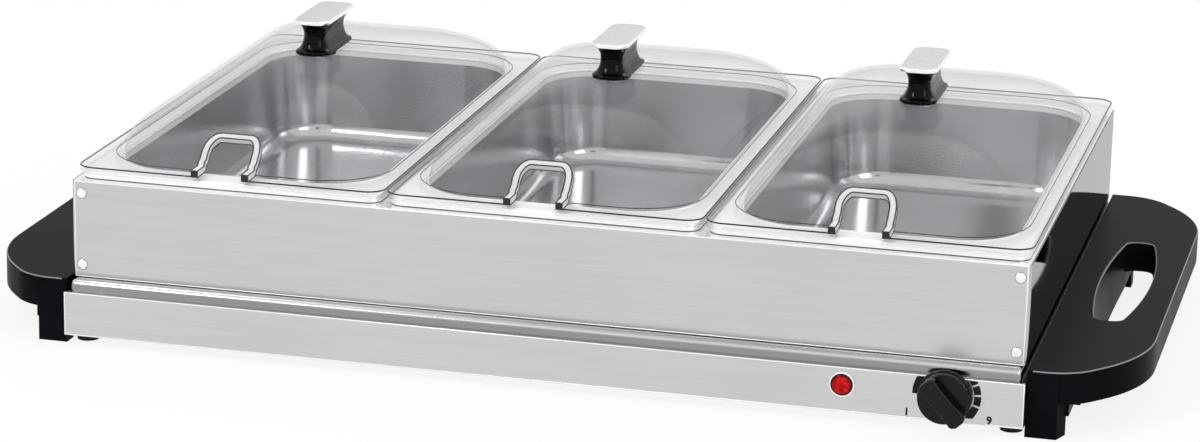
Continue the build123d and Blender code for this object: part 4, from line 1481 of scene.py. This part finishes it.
@dataclass
class DialMarks:
    """The dial's curved marks, the last of which widens towards the high end."""

    ends: tuple[float, ...] = (184.0, 142.0, 104.0, 66.0, 43.0, 24.0, 4.0, -17.0, -58.0)
    outer: float = 17.6 * MM
    gap: float = 1.1 * MM
    thin: float = 3.6 * MM
    thick: float = 5.4 * MM
    step: float = 3.0
    offset: float = 0.7 * MM

    def inner(self, angle: float) -> float:
        """Says how far in a mark reaches.

        Args:
            angle: A place on the scale, in degrees.

        Returns:
            The radius of the mark's inner edge there.
        """
        even_to, last = self.ends[-2:]
        share = max(0.0, even_to - angle) / (even_to - last)
        return self.outer - self.thin - (self.thick - self.thin) * share

    def build(self) -> None:
        """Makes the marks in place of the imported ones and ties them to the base."""
        low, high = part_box("dial_markings")
        shaft = middle("thermostat_shaft")
        half_gap = math.degrees(self.gap / self.outer) / 2
        whole = bmesh.new()
        for first, last in zip(self.ends, self.ends[1:]):
            start, end = first - half_gap, last + half_gap
            count = max(2, round((start - end) / self.step))
            rings = []
            for number in range(count + 1):
                angle = start + (end - start) * number / count
                x, z = math.cos(math.radians(angle)), math.sin(math.radians(angle))
                inner = self.inner(angle)
                corners = ((self.outer, low.y), (inner, low.y), (inner, high.y), (self.outer, high.y))
                rings.append([(shaft.x + self.offset + r * x, y, shaft.z + r * z) for r, y in corners])
            loft(rings, whole)
        for height, way in ((low.z, -1.0), (high.z, 1.0)):
            geometry = [*whole.verts, *whole.edges, *whole.faces]
            bmesh.ops.bisect_plane(whole, geom=geometry, plane_co=(0.0, 0.0, height),
                                   plane_no=(0.0, 0.0, way), clear_outer=True)
            bmesh.ops.holes_fill(whole, edges=[edge for edge in whole.edges if edge.is_boundary])
        bmesh.ops.recalc_face_normals(whole, faces=whole.faces)
        piece = mesh_piece("dial_marks_printed", whole, Shading.CRISP)
        tie(piece, "base", INK, "dial_markings")


@dataclass
class DialNumbers:
    """The two plain numbers at the ends of the dial's scale: text, name and place from the shaft."""

    numbers: tuple[tuple[str, str, Flat], ...] = (
        ("1", "dial_number_low", (-19.4 * MM, -11.0 * MM)),
        ("9", "dial_number_high", (22.8 * MM, -11.5 * MM)),
    )
    size: float = 5.6 * MM
    boldness: float = 0.20 * MM
    depth: float = 0.06 * MM

    def build(self) -> None:
        """Makes the numbers and ties them to the base."""
        shaft = middle("thermostat_shaft")
        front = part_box("chassis_shell")[0].y
        for text, name, (across, up) in self.numbers:
            curve = bpy.data.curves.new(name, "FONT")
            curve.body = text
            curve.size = self.size
            curve.extrude = self.depth
            curve.bevel_depth = self.boldness
            curve.bevel_resolution = 1
            curve.align_x = curve.align_y = "CENTER"
            word = linked("word", curve)
            mesh = evaluated(word)
            bpy.data.objects.remove(word)
            spot = Matrix.Translation((shaft.x + across, front - self.depth, shaft.z + up))
            mesh.transform(spot @ Matrix.Rotation(math.pi / 2, 4, "X"))
            tie(linked(name, mesh), "base", INK)


@dataclass
class SheetFolds:
    """The bend along each folded sheet edge of the base and the frame, a bead coloured as a painted
    highlight.
    """

    radius: float = 0.55 * MM
    sink: float = 0.36 * MM
    folds: tuple[tuple[str, str, int, str], ...] = (
        ("frame_front_fold", "frame_front_panel", -1, "frame"),
        ("frame_back_fold", "frame_back_panel", 1, "frame"),
        ("base_front_fold", "chassis_shell", -1, "base"),
        ("base_back_fold", "chassis_shell", 1, "base"),
    )

    def build(self) -> None:
        """Runs a fold round the front or back face of each node and ties it to the node's body."""
        for name, node, way, body in self.folds:
            centre, half = middle(node), half_size(node) - Vector((self.sink,) * 3)
            corners = [(centre.x + x * half.x, centre.y + way * half.y, centre.z + z * half.z)
                       for x, z in ((-1, -1), (1, -1), (1, 1), (-1, 1))]
            curve = path_curve(name, corners, cyclic=True)
            tie(bead_pattern(self.radius).lay(name, curve, FOLD_HIGHLIGHT_STEEL, Shading.SOFT), body)


@dataclass
class FrameRivets:
    """The eight rivets of the frame, domed, each in a thin ring of painted shadow."""

    head: float = 2.8 * MM
    height: float = 0.7 * MM
    shank: float = 1.5 * MM
    sheets: float = 1.6 * MM
    ring_radius: float = 0.20 * MM

    def places(self, *faces: float) -> list[Point]:
        """The rivets' places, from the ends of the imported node.

        Args:
            faces: Where the sheets' outer faces lie in Y.

        Returns:
            Four places for each face.
        """
        low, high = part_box("frame_rivets")
        return [(x, y, z) for x in (low.x + self.head, high.x - self.head)
                for z in (low.z + self.head, high.z - self.head) for y in faces]

    def rings(self, *faces: float) -> bpy.types.Object:
        """Builds the thin ring of painted shadow at the foot of each head.

        Args:
            faces: Where the sheets' outer faces lie in Y.

        Returns:
            The rings.
        """
        made = Pattern("rivet_painted_shadow_rings", {"Head": self.head, "Radius": self.ring_radius})
        foot = made.moved(made.circle("Head", points=28), Rotation=(math.pi / 2, 0.0, 0.0))
        tube = made.swept(foot, made.circle("Radius", points=6))
        made.finish(made.on_points(made.input("Geometry"), tube))
        spots = points_mesh("ring_places", self.places(*faces))
        return made.lay("rivet_painted_shadow_rings", spots, SHADOW_STEEL, Shading.SOFT)

    def build(self) -> None:
        """Makes the rivets and their rings and ties them to the frame."""
        front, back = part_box("frame_front_panel")[0].y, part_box("frame_back_panel")[1].y
        pattern = rivet_pattern(self.head, self.height, self.shank, self.sheets + self.height)
        spots = points_mesh("front_places", self.places(front))
        made = pattern.lay("frame_rivets_domed", spots, RIVET_STEEL, Shading.SOFT)
        other = made.data.copy()
        other.transform(Matrix.Translation((0.0, front + back, 0.0)) @ Matrix.Rotation(math.pi, 4, "Z"))
        bm = bmesh.new()
        for mesh in (made.data, other):
            bm.from_mesh(mesh)
        bm.to_mesh(made.data)
        bm.free()
        bpy.data.meshes.remove(other)
        shade(made.data, Shading.SOFT)
        tie(made, "frame", instead_of="frame_rivets")
        tie(self.rings(front, back), "frame")


@dataclass
class PanMouth:
    """The rolled edge where a pan's flange turns down into its well."""

    side: str
    flange_x: float = 9.7 * MM
    flange_y: float = 14.7 * MM
    corner: float = 32.0 * MM
    radius: float = 1.1 * MM
    proud: float = 0.12 * MM

    def build(self) -> None:
        """Makes the roll and ties it to its pan."""
        node = f"pan_{self.side}"
        half, out = half_size(node), self.radius - self.proud
        outline = rounded_outline(half.x - self.flange_x + out, half.y - self.flange_y + out,
                                  self.corner + out, per_corner=14, per_side=4)
        mouth = ring(outline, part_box(node)[1].z - out, middle(node))
        curve = path_curve("mouth_path", mouth, cyclic=True)
        piece = bead_pattern(self.radius).lay(f"pan_mouth_roll_{self.side}", curve, ROLL_STEEL, Shading.ROUND)
        tie(piece, f"{self.side}_pan")


@dataclass
class LampDome:
    """The indicator's red lens, turned as a low dome with a stepped foot."""

    foot: float = 0.35 * MM
    steps: int = 10
    around: int = 40
    fullness: float = 0.8

    def build(self) -> None:
        """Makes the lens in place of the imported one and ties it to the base."""
        low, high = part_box("lamp_lens")
        centre, radius = middle("lamp_lens"), half_size("lamp_lens").x
        shoulder = high.y - self.foot
        profile = [(radius, high.y), (radius, shoulder)]
        for step in range(1, self.steps):
            turn = math.pi / 2 * step / self.steps
            spread = radius * math.cos(turn) ** self.fullness
            profile.append((spread, shoulder - (shoulder - low.y) * math.sin(turn)))
        rings = [[(centre.x + x, y, centre.z + z) for x, z, y in points]
                 for points in turned(profile, self.around)]
        piece = mesh_piece("lamp_lens_dome", loft(rings), Shading.SOFT)
        # The spread runs from 0 at the middle to 1 at the rim; the lens finish paints the rim in shade with
        # it.
        shares = [spread / radius for spread, _ in profile for _ in range(self.around)]
        piece.data.attributes.new(LENS.spread, "FLOAT", "POINT").data.foreach_set("value", shares)
        tie(piece, "base", LENS, "lamp_lens")


@dataclass
class Server:
    """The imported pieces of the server."""

    nodes: dict[str, bpy.types.Object]

    def build(self) -> None:
        """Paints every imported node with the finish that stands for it."""
        found = {name.format(side=side): finish for finish, names in PAINTED.items() for name in names
                 for side in PAN_NAMES}
        for name, piece in sorted(self.nodes.items()):
            found[name].paint(piece)
            log.info("%s painted %s", name, found[name].name)


@dataclass(frozen=True)
class Lamp:
    """A soft rectangular lamp that faces a point over the table's middle, in metres and watts."""

    name: str
    place: Point
    aim: float
    width: float
    height: float
    power: float

    def build(self) -> None:
        """Hangs the lamp."""
        data = bpy.data.lights.new(self.name, "AREA")
        data.shape = "RECTANGLE"
        data.size, data.size_y = self.width, self.height
        data.energy = self.power
        toward = Vector((0.0, 0.0, self.aim)) - Vector(self.place)
        facing = toward.to_track_quat("-Z", "Y").to_matrix().to_4x4()
        linked(self.name, data).matrix_world = Matrix.Translation(self.place) @ facing


@dataclass
class Studio:
    """The white room: floor, world, lamps and the camera that was fitted to the picture."""

    lens: float = 117.734
    sensor: float = 36.0
    camera_place: Point = (495.122 * MM, -2050.158 * MM, 639.099 * MM)
    yaw: float = 13.803627
    pitch: float = 15.786153
    roll: float = 1.264561
    far: float = 50.0
    floor_half: float = 6.0
    floor_colour: Colour = grey(0.92)
    floor_glow: float = 0.86
    sky_low: Colour = grey(0.62, 0.01)
    sky_range: Flat = (-0.25, 0.75)
    sky_power: float = 0.75
    white: Colour = grey(1.0)
    lamps: tuple[Lamp, ...] = (
        Lamp("key", (-1.3, -1.7, 1.8), 0.08, 0.5, 0.9, 22.0),
        Lamp("fill", (1.9, -1.2, 1.3), 0.05, 0.9, 1.2, 11.0),
        Lamp("back", (0.2, 2.0, 1.8), 0.08, 2.4, 0.8, 16.0),
    )

    def camera(self) -> None:
        """Sets up the camera, whose place is given from the base's middle."""
        data = bpy.data.cameras.new("camera")
        data.lens = self.lens
        data.sensor_width = self.sensor
        data.sensor_fit = "HORIZONTAL"
        data.clip_end = self.far
        yaw, pitch, roll = (math.radians(angle) for angle in (self.yaw, self.pitch, self.roll))
        ahead = Vector((-math.sin(yaw) * math.cos(pitch), math.cos(yaw) * math.cos(pitch), -math.sin(pitch)))
        level = Vector((math.cos(yaw), math.sin(yaw), 0.0))
        above = level.cross(ahead)
        right = level * math.cos(roll) + above * math.sin(roll)
        up = above * math.cos(roll) - level * math.sin(roll)
        place = Vector(self.camera_place) + Vector((0.0, middle("chassis_shell").y, 0.0))
        made = linked("camera", data)
        made.matrix_world = Matrix.Translation(place) @ Matrix((right, up, -ahead)).transposed().to_4x4()
        bpy.context.scene.camera = made

    def seen_directly(self, tree: Tree) -> Wire:
        """Is 1 for what the camera sees, also in metal and through clear plastic.

        Args:
            tree: The shader tree.

        Returns:
            The mask.
        """
        rays = ("Is Camera Ray", "Is Glossy Ray", "Is Transmission Ray")
        direct, mirrored, through = (tree.node("ShaderNodeLightPath", output=ray) for ray in rays)
        return (direct + mirrored + through) > 0.5

    def floor(self) -> None:
        """Lays the pale floor, which shows white and keeps the object's shadow."""
        bm = bmesh.new()
        bmesh.ops.create_grid(bm, x_segments=1, y_segments=1, size=self.floor_half)
        made = mesh_piece("floor", bm, Shading.FLAT)
        material = bpy.data.materials.new("white_floor")
        tree = emptied(material)
        lit = tree.node("ShaderNodeBsdfDiffuse", {"Color": self.floor_colour})
        glow = tree.node("ShaderNodeEmission", {"Color": self.white, "Strength": 1.0})
        share = self.seen_directly(tree) * self.floor_glow
        surface = tree.node("ShaderNodeMixShader", {0: share, 1: lit, 2: glow})
        tree.node("ShaderNodeOutputMaterial", {"Surface": surface})
        made.data.materials.append(material)

    def world(self) -> None:
        """Lights the room evenly and shows white behind the object."""
        world = bpy.data.worlds.new("white_room")
        tree = emptied(world)
        height = tree.part("Generated", "Z")
        shine = tree.blend(height.ramp(*self.sky_range), self.sky_low, self.white)
        around = tree.node("ShaderNodeBackground", {"Color": shine, "Strength": self.sky_power})
        white = tree.node("ShaderNodeBackground", {"Color": self.white, "Strength": 1.0})
        surface = tree.node("ShaderNodeMixShader", {0: self.seen_directly(tree), 1: around, 2: white})
        tree.node("ShaderNodeOutputWorld", {"Surface": surface})
        bpy.context.scene.world = world

    def build(self) -> None:
        """Sets the room up."""
        bpy.context.scene.view_settings.view_transform = "Standard"
        self.camera()
        self.floor()
        self.world()
        for lamp in self.lamps:
            lamp.build()


def main() -> None:
    """Builds the dressed server and its studio."""
    logging.basicConfig(level=logging.INFO, format="%(name)s: %(message)s")
    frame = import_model()
    Studio().build()
    Server(frame["nodes"]).build()
    SheetFolds().build()
    FrameRivets().build()
    LampDome().build()
    for side in PAN_NAMES:
        PanMouth(side).build()
        ClearLid(side).build()
        LidKnob(side).build()
    TurnControl().build()
    DialMarks().build()
    DialNumbers().build()


if __name__ == "__main__":
    main()
